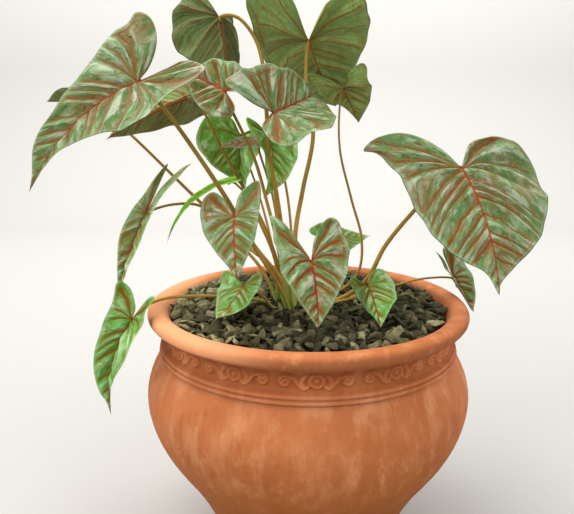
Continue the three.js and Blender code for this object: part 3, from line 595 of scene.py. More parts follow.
points = [(*CROWN_CENTRE, CROWN_TOP - CROWN_DEPTH)]
for share in np.linspace(0, 1, CROWN_RINGS + 2)[1:-1]:
    swell = CROWN_RADIUS * sin(pi * share ** 0.8) ** 0.45
    z = CROWN_TOP - CROWN_DEPTH * (1 - share)
    for a in np.linspace(0, 2 * pi, CROWN_SIDES, endpoint=False):
        knob = 1 + 0.05 * sin(5 * a + 7 * share) + 0.035 * sin(2 * pi * 5 * share)
        across, ahead = swell * knob * cos(a), swell * knob * sin(a)
        points.append((CROWN_CENTRE[0] + across, CROWN_CENTRE[1] + ahead, z))
last = len(points)
points.append((*CROWN_CENTRE, CROWN_TOP))
faces = ring_faces(1, CROWN_RINGS, CROWN_SIDES)
for k in range(CROWN_SIDES):
    n = (k + 1) % CROWN_SIDES
    faces += [(0, 1 + n, 1 + k), (last, last - CROWN_SIDES + k, last - CROWN_SIDES + n)]
crown = add_mesh("crown_stem", points, faces, crown_skin)
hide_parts("crown")
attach(crown, "root")

# ------------------------------------------------------------
# The leaves: each is a long, round, fleshy stalk, sheathed where it leaves the crown, that runs
# on under a thin heart-shaped blade as its midrib. The blade is folded along the midrib, droops
# towards its pointed tip and is quilted between side veins that meet in a vein along the margin.
BLADE_THICKNESS, STALK_UPRIGHT, STALK_GAP, CAD_THICKNESS = 0.7, 9.0, 0.5, 1.6
STALK_STEPS, STALK_SIDES, MIDRIB_STEPS, MIDRIB_SIDES = 72, 14, 26, 8
SHEATH_SWELL, SHEATH_LENGTH, VEIN_SPACING, LOBE_VEIN_SPACING = 0.42, 20, 25, 30
QUILT_SLOPE, QUILT_HEIGHT, GROOVE_DEPTH, GROOVE_WIDTH = 0.16, 2.5, 0.9, 2.4
FRILL_HEIGHT, FRILL_REACH = 0.5, 12
HEART = (12, -45, 38, -94, 72, -98, 96, -50, 100, 6, 88, 35, 60, 62, 27, 83, 8.5, 93, 2, 97.5)
USUAL = {
    "lift": (0, 0), "curl": (0, 0), "twist": 0, "wave": 2, "sway": 0, "left": HEART, "right": HEART,
    "slants": (46, 46), "looks": (1, 1),
}


def direction(azimuth, elevation):
    """The way of an azimuth, from the front towards the right, and an elevation in degrees."""
    a, e = radians(azimuth), radians(elevation)
    return np.array([cos(e) * sin(a), -cos(e) * cos(a), sin(e)])


def unit(v):
    return v / np.linalg.norm(v, axis=-1, keepdims=True)


def set_up(leaf):
    """Adds to a leaf its length along the midrib, its side veins and the axes at its notch."""
    notch = np.array(leaf.notch, float)
    chord = np.array(leaf.tip, float) - notch
    along, bend = unit(chord), radians(leaf.droop)
    out = direction(*leaf.face)
    out = unit(out - along * (out @ along))
    leaf.at, leaf.bend = notch, bend
    leaf.length = np.linalg.norm(chord) * (bend / 2) / sin(bend / 2)
    leaf.veins = 2 + round(leaf.length / VEIN_SPACING)
    leaf.across = np.cross(along, out)
    leaf.start = along * cos(bend / 2) + out * sin(bend / 2)
    leaf.rise = np.cross(leaf.across, leaf.start)


def arc(distance, bend):
    """How far a curve of constant bend gets: forward, and to the side that it bends to."""
    bend = np.where(np.abs(bend) < 1e-9, 1e-9, bend)
    return np.sin(bend * distance) / bend, (1 - np.cos(bend * distance)) / bend


def blade_point(leaf, side, x, y):
    """Where the flat point x across and y along the blade goes, in mm; side is -1 or 1."""
    half = int(side > 0)
    lobe_bend = radians(leaf.lift[half]) / leaf.lobes[half]
    bend = np.where(y < 0, lobe_bend, leaf.bend / leaf.length)
    forward, down = arc(np.abs(y), bend)
    sign, turn = np.where(y < 0, -1, 1)[:, None], (bend * np.abs(y))[:, None]
    tangent = leaf.start * np.cos(turn) - leaf.rise * np.sin(turn)
    roll = (radians(leaf.twist) * np.maximum(0, y / leaf.length))[:, None]
    outward = leaf.across * np.cos(roll) + np.cross(tangent, leaf.across) * np.sin(roll)
    upward = np.cross(outward, tangent)
    fold = radians(leaf.fold[half])
    straight, raised = arc(x, radians(leaf.curl[half]) / (leaf.width / 2))
    reach = straight * cos(fold) - raised * sin(fold)
    height = straight * sin(fold) + raised * cos(fold)
    edge = np.minimum(1.2, 2 * x / leaf.width) ** 2
    height = height + leaf.wave * edge * np.sin(14 * y / leaf.length + side * 1.3)
    forward, down = sign * forward[:, None], sign * down[:, None]
    point = leaf.at + leaf.start * forward - leaf.rise * down
    sway = 4 * leaf.sway * y / leaf.length * (1 - y / leaf.length)
    return point + outward * (side * reach + sway)[:, None] + upward * height[:, None]


def blade_normal(leaf, side, x, y):
    """The way that the upper side looks at a flat point."""
    here = blade_point(leaf, side, x, y)
    aside = blade_point(leaf, side, x + 0.05, y) - here
    ahead = blade_point(leaf, side, x, y + 0.05) - here
    return unit(np.cross(aside, ahead) * side)


def vein_number(leaf, side, x, y):
    """Which side vein a flat point lies on: whole on a vein, and in between between two of them.
    From 0 up they leave the midrib one after the other; below 0 they fan out from the notch."""
    half = int(side > 0)
    slant = leaf.slants[half]
    s = np.linspace(-1, 1, 121)
    fan = slant + 36 - s * (140 - slant)
    angle = np.radians(np.where(s < 0, fan, slant + 16 * (1 - s) + 20 * np.exp(-s / 0.09)))
    first = np.maximum(0, s) ** 1.25 * 0.9 * leaf.length
    sweep = 0.55 * np.clip(1 + s, 0, 1) / (leaf.width / 2)
    x = np.maximum(x, 0.3)[:, None]
    wobble = 1.2 * np.sin(x / 9 + leaf.seed) + 0.9 * np.sin(y[:, None] / 7 + 2 * leaf.seed)
    rows = first + x / np.tan(np.minimum(angle, pi - 0.03)) + sweep * x**2 + wobble
    below = np.clip((rows < y[:, None]).sum(1), 1, len(s) - 1)
    pick = np.arange(len(y))
    low, high = rows[pick, below - 1], rows[pick, below]
    place = s[below - 1] + (s[below] - s[below - 1]) * np.clip((y - low) / (high - low), -3, 3)
    lobe_veins = 2 + round(leaf.lobes[half] / LOBE_VEIN_SPACING)
    number = np.where(place < 0, place * lobe_veins, place * leaf.veins)
    return number + 0.3 * np.sin(1.9 * number + 2 * leaf.seed + side)


def margin_line(leaf, side, count):
    """The margin of one half as flat points, from beside the notch round the lobe to the tip."""
    lobe, own = leaf.lobes[int(side > 0)], leaf.right if side > 0 else leaf.left
    x, y = np.array([0, 0, *own, 0, 100]).reshape(-1, 2).T / 100
    flat = np.stack([x * leaf.width / 2, y * np.where(y < 0, lobe, leaf.length)], 1)
    share = np.linspace(0.012, 1, count)
    x, y = through(flat, share).T
    run, seed = share * (leaf.length + lobe), leaf.seed
    uneven = 1 + 0.009 * np.sin(run / 3.1 + seed) + 0.012 * np.sin(run / 7.3 + 2 * seed)
    return np.maximum(x, 0) * np.where(share < 0.97, uneven, 1), y


def half_blade(leaf, side, rays, rings, size):
    """One half of a blade in rings about the notch: the surface in its middle, the way from there
    to its upper skin, and what the material reads: the number of the vein, the pitch of the veins
    and the distance across, and then the share of the length and the gap to the margin."""
    margin_x, margin_y = margin_line(leaf, side, rays)
    share = (np.arange(1, rings + 1) / rings)[:, None]
    x, y = (share * margin_x).ravel(), (share * margin_y).ravel()
    run_x, run_y = np.gradient(margin_x), np.gradient(margin_y)
    facing = 0.4 + 0.6 * np.abs(run_x) / np.hypot(run_x, run_y)
    gap = ((1 - share) * np.hypot(margin_x, margin_y) * facing).ravel()
    number = vein_number(leaf, side, x, y)
    near = 0.4
    slope_x = (vein_number(leaf, side, x + near, y) - number) / near
    slope_y = (vein_number(leaf, side, x, y + near) - number) / near
    pitch = np.clip(1 / np.maximum(1e-3, np.hypot(slope_x, slope_y)), 0.5, 60)
    inside = np.clip((gap - 1.5) / 8, 0, 1)
    quilt = np.clip(QUILT_SLOPE * pitch, 0, QUILT_HEIGHT) * -np.cos(2 * pi * number) * inside**0.7
    groove = GROOVE_DEPTH * np.exp(-((x / GROOVE_WIDTH) ** 2)) * np.clip(gap / 9, 0, 1)
    quilt = quilt * np.clip(x / 6, 0, 1) - groove
    ripple = np.sin(np.tile(np.linspace(0, 1, rays), rings) * size / 4.5 + leaf.seed * 3)
    frill = FRILL_HEIGHT * np.clip(1 - gap / FRILL_REACH, 0, 1) ** 2 * ripple * (x > 1)
    out = blade_normal(leaf, side, x, y)
    middle = blade_point(leaf, side, x, y) + out * (quilt + frill)[:, None]
    thick = BLADE_THICKNESS / 2 * np.clip(gap / 3, 0.3, 1)
    thick[-rays:] = 0
    return middle, out * thick[:, None], list(zip(number, pitch, x)), list(zip(y / leaf.length, gap))


def face_of(corners, forward):
    """A face from its corners, each taken once, in their order or the other way round."""
    corners = list(dict.fromkeys(int(corner) for corner in corners))
    return corners if forward else corners[::-1]


def tube(path, radii, sides, start_side=(1.0, 0.0, 0.0)):
    """The points and faces of a round tube along a path, capped at both ends."""
    side, made = np.array(start_side), []
    for point, ahead, r in zip(path, unit(np.gradient(path, axis=0)), radii):
        side = unit(side - ahead * (side @ ahead))
        other = np.cross(ahead, side)
        for k in range(sides):
            a = 2 * pi * k / sides
            made.append(point + r * (side * cos(a) + other * sin(a)))
    skin = ring_faces(0, len(path), sides)
    return made, skin + [list(range(sides))[::-1], list(range(len(made) - sides, len(made)))]


def ridge_below(leaf):
    """The ridge that runs on from the stalk under the blade, thinner and thinner to the tip."""
    share = np.linspace(0, 1, MIDRIB_STEPS)
    y = (-0.02 + 0.95 * share) * leaf.length
    radii = leaf.stalk[1] * 0.72 * (1 - share) ** 0.8 + 0.25
    down = blade_normal(leaf, 1, np.full(MIDRIB_STEPS, 0.01), y) * (0.9 + radii * 0.55)[:, None]
    line = blade_point(leaf, 1, np.zeros(MIDRIB_STEPS), y) - down
    return *tube(line, radii, MIDRIB_SIDES, leaf.across), np.repeat(share, MIDRIB_SIDES)


def add_blade(leaf, material):
    """The blade of a leaf: two skins that meet at the margin, and the midrib under them."""
    size = leaf.length + leaf.width / 2
    rays, rings = int(24 + 0.42 * size), int(12 + 0.2 * size)
    on_midrib = (0, 9, 0)  # the pitch, or the gap to the margin, is given as 9 mm there
    points, veins, places = [leaf.at] * 2, [on_midrib] * 2, [(0, 9, 1), on_midrib]
    faces, known = [], {}
    for side in (1, -1):
        middle, lift, vein_values, place_values = half_blade(leaf, side, rays, rings, size)
        beside_notch = []
        for upper in (1, 0):
            skin = middle + lift * (1 if upper else -1)
            ids = np.full((rings + 1, rays), 1 - upper)
            for i, k in itertools.product(range(1, rings + 1), range(rays)):
                key = side, upper, i, k
                if k == rays - 1:
                    key = "midrib", i, upper if i < rings else 0
                elif i == rings:
                    key = "margin", side, k
                if key not in known:
                    at, known[key] = (i - 1) * rays + k, len(points)
                    points.append(skin[at])
                    veins.append(vein_values[at])
                    places.append((*place_values[at], upper))
                ids[i, k] = known[key]
            for i, k in itertools.product(range(rings), range(rays - 1)):
                corners = ids[i, k], ids[i, k + 1], ids[i + 1, k + 1], ids[i + 1, k]
                faces.append(face_of(corners, (side > 0) == bool(upper)))
            beside_notch.append(ids[:, 0])
        high, low = beside_notch
        for i in range(rings):
            faces.append(face_of((high[i], high[i + 1], low[i + 1], low[i]), side > 0))
    ribs, rib_faces, share = ridge_below(leaf)
    faces += [[len(points) + i for i in face] for face in rib_faces]
    points += ribs
    veins += [on_midrib] * len(ribs)
    places += [(s, 9, 0) for s in share]
    piece = add_mesh("leaf_blade_" + leaf.name, points, faces, material)
    add_values(piece, "veins", veins)
    add_values(piece, "place", places)
    add_values(piece, "looks", [(*leaf.looks, 0)] * len(points))
    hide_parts("blade_" + leaf.name)
    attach(piece, "root")
    return piece


def add_stalk(leaf, material):
    """The stalk of a leaf, from inside the crown to under the notch of its blade."""
    thick, thin = leaf.stalk
    foot = np.array([*np.add(CROWN_CENTRE, leaf.root), CROWN_TOP])
    inward = np.array([*CROWN_CENTRE, CROWN_TOP]) * 0.35 + foot * 0.65 - (0, 0, 8)
    end = leaf.at - leaf.rise * (thin + STALK_GAP + CAD_THICKNESS / 2)
    under = leaf.at + leaf.start * 5 - leaf.rise * (thin * 0.75 + 0.5)
    way = [inward, foot, foot + (0, 0, STALK_UPRIGHT), *leaf.path, end, under]
    path = through(way, STALK_STEPS)
    share = np.linspace(0, 1, STALK_STEPS)
    run = share * np.linalg.norm(np.diff(path, axis=0), axis=1).sum()
    sheath = 1 + SHEATH_SWELL * np.exp(-((run / SHEATH_LENGTH) ** 2))
    neck = np.clip(1.25 - 5 * (share - 0.95), 0.8, 1)
    points, faces = tube(path, (thick + (thin - thick) * share) * sheath * neck, STALK_SIDES)
    piece = add_mesh("leaf_stalk_" + leaf.name, points, faces, material)
    add_values(piece, "run", np.repeat(run, STALK_SIDES))
    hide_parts("stalk_" + leaf.name)
    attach(piece, "root")


stalk_skin, place = new_material("stalk_skin")
run = place.attribute("run")
cloud, streak = place.noise(30, 3), place.noise(420, 3, (1, 1, 0.12), 0.6)
stalk_colour = layered(
    paint(180, 141, 60),
    (cloud.step(0.35, 0.65), paint(206, 164, 80)),
    (streak.step(0.5, 0.7) * 0.5, paint(138, 98, 32)),
    ((run + cloud * 60).step(90, 240) * 0.8, paint(128, 106, 36)),
    ((run + cloud * 40 - 20).step(64, 16), paint(160, 182, 92)),
)
roughness = 0.45 + cloud * 0.15
finish(stalk_skin, stalk_colour, roughness, streak, depth=0.0004, strength=0.6, gloss=0.14)


def mixed(colour, share, other=(0, 0, 0), part=0):
    """A share of one colour and a part of another, added up."""
    return (*[a * share + b * part for a, b in zip(colour[:3], other)], 1)


def leaf_skin(name, green, pale, painted_glint_colour, blush, vein, red, under, pale_share, blush_share):
    """A blade's finish from its colours: the green of the upper side, a pale silver that is partly the
    leaf's own marbling and partly painted sheen, the painted glints and the reddish tint on the
    quilting, the side veins, the midrib and the under side."""
    material, place = new_material(name)
    number, pitch, across = place.attribute("veins", 1).parts()
    along, gap, upper = place.attribute("place", 1).parts()
    tone, vein_share = place.attribute("looks", 1).parts()[:2]
    warp, fine_warp = place.noise(55, 2) - 0.5, place.noise(160, 3) - 0.5
    flow = place.node("ShaderNodeCombineXYZ", None, {0: number, 1: across * 0.035, 2: gap * 0.02})
    net_place = place.node("ShaderNodeCombineXYZ", None, {
        0: number * 2.2 + fine_warp * 0.8, 1: across * 0.06 + warp * 0.8, 2: upper * 5,
    })
    bent = number + warp * 0.3 + fine_warp * 0.16
    off = bent.math("PINGPONG", 0.5)
    across = across + fine_warp * 0.7
    width = (pitch * 0.12 + 0.5).math("MINIMUM", 1.7) * (1 - along * 0.4)
    width = width * (1.1 - (across * 0.014).math("MINIMUM", 0.9) * 0.5)
    width = width * ((bent.math("ROUND") * 2.4).math("SINE") * 0.22 + 0.88)
    from_vein = off * pitch / width
    near_rim = gap.step(0.8, 5.0) * vein_share
    side_vein = from_vein.step(1.25, 0.3) * near_rim
    halo = from_vein.step(3.0, -0.2) * near_rim
    midrib = (across / (1.6 - along)).step(1.15, 0.5) * (vein_share * 0.7 + 0.3)
    net_inputs = {"Vector": net_place, "Scale": 1.0}
    net = flow.node("ShaderNodeTexVoronoi", {"feature": "DISTANCE_TO_EDGE"}, net_inputs)
    twigs = net.step(0.09, 0.0) * (1 - side_vein) * (pitch * 0.1).math("MINIMUM", 1.0)
    streak, streak2 = flow.noise(3.4, 3), flow.noise(2.2, 3, shift=(5, 3, 8))
    # The quilt crests between the veins, where the pale colour and the glints are laid on as painted
    # highlights.
    crest = off.step(0.12, 0.45) * (pitch * 0.12).math("MINIMUM", 1.0)
    glint = crest * 0.05 + flow.noise(3.2, 2, (1, 0.3, 0.3), shift=(2, 9, 4))
    patch, patch2 = place.noise(40, 3, shift=(3, 1, 2)), place.noise(26, 3, shift=(8, 4, 1))
    strong = side_vein * (patch.step(0.3, 0.55) * 0.15 + 0.85)
    rim_vein = (gap - 3.2 + warp * 3).math("ABSOLUTE").step(1.1, 0.1) * patch2.step(0.4, 0.6) * 0.6
    top = layered(
        green,
        (patch2.step(0.35, 0.65), mixed(green, 0.76)),
        # Pale patches: partly the leaf's own silver marbling, partly painted sheen on the quilt crests.
        ((streak * 0.6 + patch * 0.4 + crest * 0.07).step(0.47, 0.65) * pale_share, pale),
        ((streak2 * 0.6 + patch2 * 0.4).step(0.47, 0.6) * blush_share, blush),
        (twigs * 0.6, mixed(green, 0.45, vein, 0.4)),
        # A pale band along the margin: painted sheen on the edge.
        (gap.step(3.0, 0.5) * 0.4, pale),
        (halo * 0.45, vein),
        # Painted glints: near-white highlight streaks on the quilt crests, away from the veins.
        (glint.step(0.56, 0.68) * (1 - halo) * pale_share * 0.6, painted_glint_colour),
        (strong.math("MAXIMUM", rim_vein), (across.step(9, 1) * 0.45).blend(vein, red)),
        (midrib * 0.9, red),
    )
    lines = (number * 7 + warp * 1.2).math("PINGPONG", 0.5)
    low_vein = from_vein.step(1.0, 0.2) * near_rim * 0.85
    browned = mixed(under, 0.52, vein, 0.42)
    low = layered(
        under,
        (patch.step(0.35, 0.65), mixed(under, 0.8)),
        ((streak * 0.7 + patch2 * 0.3).step(0.46, 0.58) * 0.7, browned),
        (lines.step(0.3, 0.05) * 0.5, browned),
        (twigs * 0.75, browned),
        (halo * 0.4, vein),
        (low_vein.math("MAXIMUM", rim_vein), vein),
        (midrib * 0.85, vein),
    )
    colour = upper.step(0.4, 0.6).blend(low, top)
    ridges = (1 - upper) * lines.step(0.4, 0.1) * 0.5
    furrow = ridges + 1 - side_vein * 0.6 - twigs * 0.5 - midrib * 0.6
    relief = furrow + place.noise(900, 2) * 0.1 + streak * 0.4
    # Each blade's own brightness scales its colour: painted light and shade, darker for blades the
    # lamps light strongly and lighter for those they leave in shade.
    colour_with_painted_light = colour.node("ShaderNodeVectorMath", {"operation": "SCALE"}, {0: colour, 3: tone})
    roughness = 0.32 + patch * 0.2 + (1 - upper) * 0.2
    finish(material, colour_with_painted_light, roughness, relief, depth=0.0008, strength=0.9, gloss=0.14)
    return material


silver = leaf_skin(
    "silver_leaf", paint(90, 130, 66), paint(150, 170, 132), paint(196, 206, 184), paint(138, 104, 62),
    paint(130, 62, 0), paint(156, 42, 16), paint(140, 161, 92), 0.75, 0.65,
)
green = leaf_skin(
    "green_leaf", paint(94, 160, 62), paint(156, 198, 134), paint(196, 216, 176), paint(134, 152, 80),
    paint(126, 90, 12), paint(142, 74, 18), paint(112, 154, 58), 0.75, 0.35,
)
shaded = leaf_skin(
    "shaded_leaf", paint(100, 136, 68), paint(138, 160, 110), paint(186, 196, 166), paint(134, 116, 66),
    paint(124, 74, 8), paint(140, 60, 16), paint(130, 164, 96), 0.6, 0.45,
)
young = leaf_skin(
    "young_leaf", paint(130, 214, 62), paint(180, 236, 104), paint(200, 240, 140), paint(150, 208, 76),
    paint(140, 180, 50), paint(150, 180, 56), paint(132, 194, 62), 0.5, 0.3,
)
leaf_order = itertools.count()


def grow(name, skin, **row):
    """One leaf from its row, whose sizes are in mm and whose angles are in degrees.

    stalk: its radius at the foot and at the blade; root: where it leaves the crown, from the
    crown's middle; path: points on its way; notch, tip: the ends of the midrib; face: the azimuth
    and elevation that the upper side looks to; width: of the blade; droop, twist, sway, wave: how
    it bends down to the tip, turns about the midrib, swings aside and ripples at the margin.
    Of the left and the right half: lobes, the length below the notch; lift, the lobe's bend
    upwards; fold, up from the midrib; curl, further up towards the margin; slants, between the
    midrib and the side veins. left, right: points of the margin from the notch to the tip, across
    and along, in percent of half the width and of the length or, below the notch, of the lobe.
    looks: how light the blade is, which paints light and shade on blades that the lamps light more
    or less than the others, and how strong its veins are."""
    leaf = SimpleNamespace(**{**USUAL, **row}, name=name, seed=1.7 * next(leaf_order) + 0.6)
    set_up(leaf)
    add_stalk(leaf, stalk_skin)
    add_blade(leaf, skin)


grow(
    "upper_left", silver, stalk=(2.9, 1.8), root=(-13, -12), path=[(-27, -14, 304), (-56, -30, 349),
    (-85, -46, 405), (-139, -62, 488)], notch=(-154.8, -68, 505.5), tip=(-249.1, -95.4, 409),
    face=(-33.8, 29.6), width=127.5, lobes=(58.4, 58.1), lift=(23.4, 35.6), fold=(2, 33.6),
    curl=(-12.7, -17), droop=37.4, twist=8, sway=7.1, slants=(44, 40), looks=(0.88, 0.75), left=(3, -52,
    10, -71, 35, -82, 53, -79, 59, -65, 60, -14, 90, 21, 84, 31, 67, 38, 11, 76), right=(30, -57,
    66, -93, 84, -96, 95, -87, 98, -62, 89, -19, 68, 9, 40, 44, 29, 75, 6, 91),
)
grow(
    "left_behind", shaded, stalk=(2.4, 1.4), root=(-18, 9), path=[(-40, 6, 319), (-62, 14, 336),
    (-125, 36, 391), (-200, 52, 462)], notch=(-226, 60, 486), tip=(-313, 108, 499), face=(190, 60),
    width=64, lobes=(34, 34), fold=(10, 10), droop=30, looks=(0.8, 0.8),
)
grow(
    "left_shaded", silver, stalk=(2.2, 1.4), root=(-14, 3), path=[(-36, 2, 331), (-52, 4, 370),
    (-71, 8, 409), (-94, 14, 450), (-111, 20, 485)], notch=(-122, 22, 500), tip=(-215, 18, 454),
    face=(180, 57), width=100, lobes=(30, 26), lift=(0, 10), fold=(105, 10), droop=20, looks=(0.8, 0.8),
)
grow(
    "top_left", shaded, stalk=(3.1, 1.8), root=(-9, 14), path=[(-32, 22, 384), (-41, 28, 433),
    (-44, 36, 480), (-48, 44, 533), (-57, 49, 562), (-76, 50, 583)], notch=(-93.9, 52.9, 582.2),
    tip=(-86.1, 27, 520), face=(-178, 5), width=122.1, lobes=(45.8, 29.8), lift=(8.4, 6.9),
    fold=(23.5, 59.8), curl=(13.6, 40), droop=15, wave=3, sway=0.4, looks=(0.51, 0.9), left=(37, -90,
    66, -100, 98, -79, 111, -42, 111, 10, 91, 34, 28, 82), right=(3, -15, 43, -54, 81, -79, 118, -57,
    122, 4, 87, 36),
)
grow(
    "top_middle", shaded, stalk=(2.9, 1.8), root=(1, 12), path=[(-13, 9, 353), (-5, 14, 401),
    (6, 22, 460), (-2, 30, 518)], notch=(1.1, 43, 558.4), tip=(39.3, 132.7, 494.7), face=(164.7, 45.1),
    width=143.6, lobes=(70.5, 50.8), lift=(17.2, 0.9), fold=(9.3, 8.9), curl=(-2, -6), droop=2.8,
    wave=3, sway=-2.1, slants=(50, 46), looks=(1.28, 0.85), left=(13, -79, 47, -108, 78, -96, 84, -53,
    85, -19, 89, 11, 88, 35, 69, 66, 41, 86, 15, 96), right=(28, -63, 38, -81, 66, -97, 91, -70,
    94, -28, 86, 12, 74, 30, 57, 48),
)
grow(
    "top_right_small", shaded, stalk=(1.7, 1.1), root=(13, 14), path=[(40, 16, 290), (58, 18, 310),
    (61, 22, 346), (50, 34, 389), (38, 54, 443), (38, 68, 489)], notch=(42.8, 78.4, 511),
    tip=(63.7, 97.4, 473.9), face=(148.1, 68.8), width=81.4, lobes=(36.1, 23.9), lift=(-11.5, 42),
    fold=(6, -2.7), curl=(-15.9, -7.3), droop=22.1, sway=-0.3, looks=(1.25, 0.9), left=(57, -82,
    74, -88, 90, -49, 86, 10, 63, 40, 41, 45), right=(57, -94, 96, -100, 104, -67, 102, -12, 76, 36),
)
grow(
    "upper_middle", silver, stalk=(2.8, 1.7), root=(-3, -11), path=[(-24, -20, 340), (-32, -36, 400),
    (-40, -60, 455)], notch=(-33.9, -73.2, 478), tip=(5, 26.6, 501.4), face=(48, 56.1), width=93.6,
    lobes=(64.6, 39.3), lift=(3.6, -25.6), fold=(41.9, 12.4), curl=(-4.4, -5), droop=8.2, twist=5,
    sway=2.4, looks=(0.95, 1), left=(28, -41, 48, -63, 73, -79, 88, -39, 91, 9, 79, 39, 54, 70, 21, 93),
    right=(12, -68, 30, -89, 56, -104, 80, -99, 88, -73, 91, -33, 100, 6, 94, 39, 78, 64, 46, 83),
)
grow(
    "upper_left_inner", silver, stalk=(2.2, 1.4), root=(-9, -3.5), path=[(-33, -8, 350),
    (-43, -16, 393), (-54, -24, 434), (-66, -27, 462), (-79, -25, 489)], notch=(-83, -22, 501),
    tip=(-126, 14, 521), face=(-10, 30), width=56, lobes=(24, 26), lift=(10, 20), fold=(-10, 25),
    droop=20,
)
grow(
    "centre_left_green", green, stalk=(1.7, 1.1), root=(-16, 17), path=[(-40, 40, 340), (-58, 72, 400),
    (-72, 76, 440)], notch=(-73.4, 54.5, 458.6), tip=(-72.2, 79.8, 396.3), face=(-8.3, 10.8),
    width=102.7, lobes=(30.7, 28.8), lift=(16.3, -20.3), fold=(55, 32.5), curl=(11.9, 3.5), droop=-16.8,
    sway=4.3, looks=(1.7, 0.6), left=(47, -84, 67, -101, 95, -74, 101, -33, 97, 12, 72, 42),
    right=(28, -68, 44, -87, 65, -97, 83, -96, 95, -87, 107, -31, 103, -8, 75, 36, 58, 53, 7, 92),
)
grow(
    "centre_narrow", silver, stalk=(1.7, 1.1), root=(-3, 4), path=[(-28, 2, 340), (-38, 0, 400),
    (-50, -4, 440)], notch=(-53, -5, 453), tip=(-93, 0, 445), face=(0, 60), width=28, lobes=(8, 8),
    fold=(0, 0), droop=30, wave=1,
)
grow(
    "centre_right_green", green, stalk=(1.7, 1.1), root=(-1, -3.5), path=[(-16, -6, 340),
    (-22, -6, 400), (-32, -6, 444)], notch=(-38.8, -29.2, 453.4), tip=(-46.7, -5.2, 393.9),
    face=(22.1, 9.9), width=64.2, lobes=(35.9, 35.8), lift=(-0.6, 21.7), fold=(16.8, 50.9),
    curl=(3.7, 14.4), droop=5, sway=-5.8, looks=(1.75, 0.5), left=(9, -37, 24, -66, 51, -86, 76, -84,
    91, -53, 83, 13, 60, 52, 46, 67), right=(54, -100, 64, -110, 75, -107, 90, -88, 98, -56, 102, -21,
    94, 13),
)
grow(
    "left_strip", young, stalk=(1.7, 1.1), root=(-8, 6.5), path=[(-34, -3, 332), (-51, -3, 376),
    (-68, -0.5, 401)], notch=(-80, 2, 412), tip=(-149, -10, 347), face=(-30, 30), width=10,
    lobes=(8, 6), fold=(20, 20), droop=30, wave=0.5, sway=13, looks=(1.25, 1),
)
grow(
    "left_hanging", silver, stalk=(2.1, 1.3), root=(-20.5, 1.5), path=[(-46, 2, 310), (-66, 6, 336),
    (-113, 12, 383), (-142, 2, 387)], notch=(-167.6, -12.8, 381), tip=(-195.3, -33.4, 302.7),
    face=(-25.2, 22), width=44.8, lobes=(57.5, 58.3), lift=(-27.1, 0.9), fold=(29.9, 55.4),
    curl=(2.4, 1.4), droop=0.2, wave=1, sway=3.3, looks=(1.45, 0.5), left=(3, -57, 11, -83, 37, -104,
    56, -109, 71, -96, 80, -70, 77, -23, 82, 4, 77, 44, 43, 77), right=(3, -30, 29, -93, 39, -81,
    50, -25, 68, 8, 73, 30, 54, 56, 18, 89),
)
grow(
    "low_left", green, stalk=(2.1, 1.3), root=(-20, -7.5), path=[(-43, -14, 284), (-82, -26, 293),
    (-113, -36, 297), (-145, -45, 297), (-165, -50, 290)], notch=(-175.7, -61.6, 279.9),
    tip=(-200.2, -69.2, 181.4), face=(-12.2, 17.9), width=81.9, lobes=(31.2, 36.9), lift=(17.1, 3.1),
    fold=(46.2, 23.1), curl=(0.6, 3.1), droop=16.6, sway=9, left=(3, -87, 11, -101, 26, -105, 34, -94,
    44, -52, 74, -10, 87, 12, 87, 26, 72, 40, 13, 74), right=(9, -33, 44, -74, 68, -92, 86, -99,
    90, -90, 67, -37, 39, 59, 30, 71, 20, 80, 9, 86),
)
grow(
    "low_left_inner", green, stalk=(1.7, 1.1), root=(-15, -19), path=[(-38, -30, 284), (-48, -42, 300)],
    notch=(-65.9, -57.9, 313), tip=(-86.7, -106.9, 295.5), face=(-34.5, 28.6), width=52.2,
    lobes=(31, 21.3), lift=(17.6, 39.2), fold=(-12, -0.1), curl=(-10.1, -5.4), droop=-4.9, wave=1,
    sway=-1.7, left=(19, -51, 38, -68, 58, -69, 68, -41, 62, 60, 41, 82, 8, 93), right=(14, -29,
    60, -90, 92, -111, 122, -76, 123, -18, 88, 36),
)
grow(
    "front_left", silver, stalk=(2.1, 1.3), root=(-7, -19.5), path=[(-30, -34, 306), (-50, -54, 345)],
    notch=(-70.6, -81.6, 386.3), tip=(-65.7, -114.9, 334.1), face=(4.2, 16.8), width=66.2,
    lobes=(43.4, 38.8), lift=(12.5, 16), fold=(7.6, -10.6), curl=(-14.1, -15.2), droop=27.4, sway=1,
    slants=(50, 42), looks=(0.95, 0.85), left=(11, -53, 30, -72, 62, -87, 72, -60, 71, -12, 63, 29,
    44, 57), right=(40, -62, 70, -78, 93, -70, 104, -42, 96, 1, 78, 32, 10, 89),
)
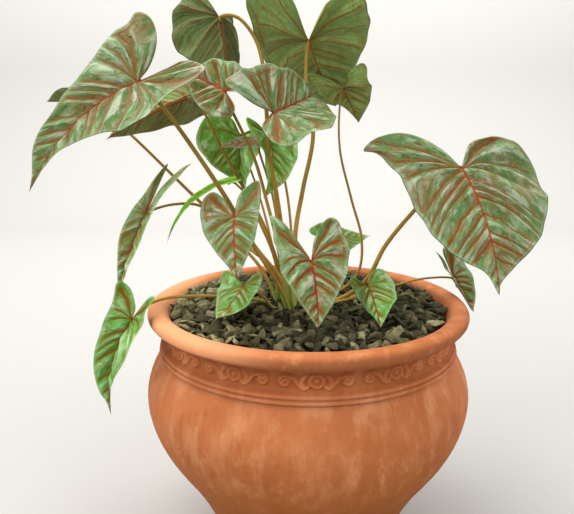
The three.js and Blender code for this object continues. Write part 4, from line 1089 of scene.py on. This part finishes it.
grow(
    "front_middle", silver, stalk=(2.4, 1.4), root=(3, -19), path=[(-4, -34, 300), (0, -62, 336)],
    notch=(-0.1, -95.7, 346.6), tip=(4.9, -128.5, 293.9), face=(23.2, 16.4), width=81.2,
    lobes=(47.8, 53.5), lift=(24.8, -15.4), fold=(11.8, 18.1), curl=(-4, -6.1), droop=9.8, sway=-1.5,
    left=(18, -44, 36, -69, 65, -90, 82, -85, 95, -59, 94, -19, 83, 9, 66, 33), right=(45, -64, 76, -77,
    88, -44, 91, 18, 78, 43, 50, 66),
)
grow(
    "behind_middle", green, stalk=(1.7, 1.1), root=(6, 4), path=[(6, 14, 300), (22, 44, 326)],
    notch=(32, 50, 342), tip=(78, 65, 342), face=(0, 40), width=44, lobes=(26, 14), fold=(0, 0),
    droop=10, twist=-50, wave=1,
)
grow(
    "low_right", green, stalk=(1.8, 1.1), root=(15, -15), path=[(26, -18, 284), (56, -30, 296)],
    notch=(59.3, -47.8, 310.8), tip=(63.4, -103.3, 285.9), face=(-14, 0), width=49.1,
    lobes=(28.6, 28.5), lift=(20.7, 17.6), fold=(-12, -12), curl=(-33.5, -32.6), droop=10.3, wave=1,
    sway=-1.8, looks=(0.9, 1), left=(3, -21, 67, -80, 94, -76, 108, -33, 102, 23, 85, 48, 50, 72),
    right=(22, -58, 46, -102, 75, -87, 79, -24, 49, 44, 17, 77),
)
grow(
    "right", silver, stalk=(2.9, 1.8), root=(9, -6.5), path=[(35, -10, 286), (62, -12, 307),
    (81, -16, 346), (107, -26, 384), (134, -38, 418)], notch=(148.4, -38.2, 427.7),
    tip=(159.1, -129.5, 324.5), face=(14.2, 38.4), width=184.7, lobes=(50.5, 71.4), lift=(29.4, -12.8),
    fold=(-5.8, -12), curl=(-6.9, -37.9), droop=14.2, wave=3, sway=-6.1, slants=(64, 36),
    looks=(0.8, 1), left=(28, -66, 46, -80, 70, -91, 85, -89, 102, -78, 110, -11, 105, 10, 75, 43,
    57, 59, 3, 92), right=(18, -74, 29, -89, 41, -97, 57, -99, 78, -86, 69, -72, 59, 43, 46, 61, 29, 75,
    11, 85),
)
grow(
    "right_small", silver, stalk=(1.7, 1.1), root=(18, 1), path=[(38, 2, 281), (70, 6, 291),
    (98, 10, 296), (130, 16, 302)], notch=(166, 22, 302), tip=(184, 0, 268), face=(20, 22), width=38,
    lobes=(36, 34), fold=(45, 50), droop=10, wave=1,
)
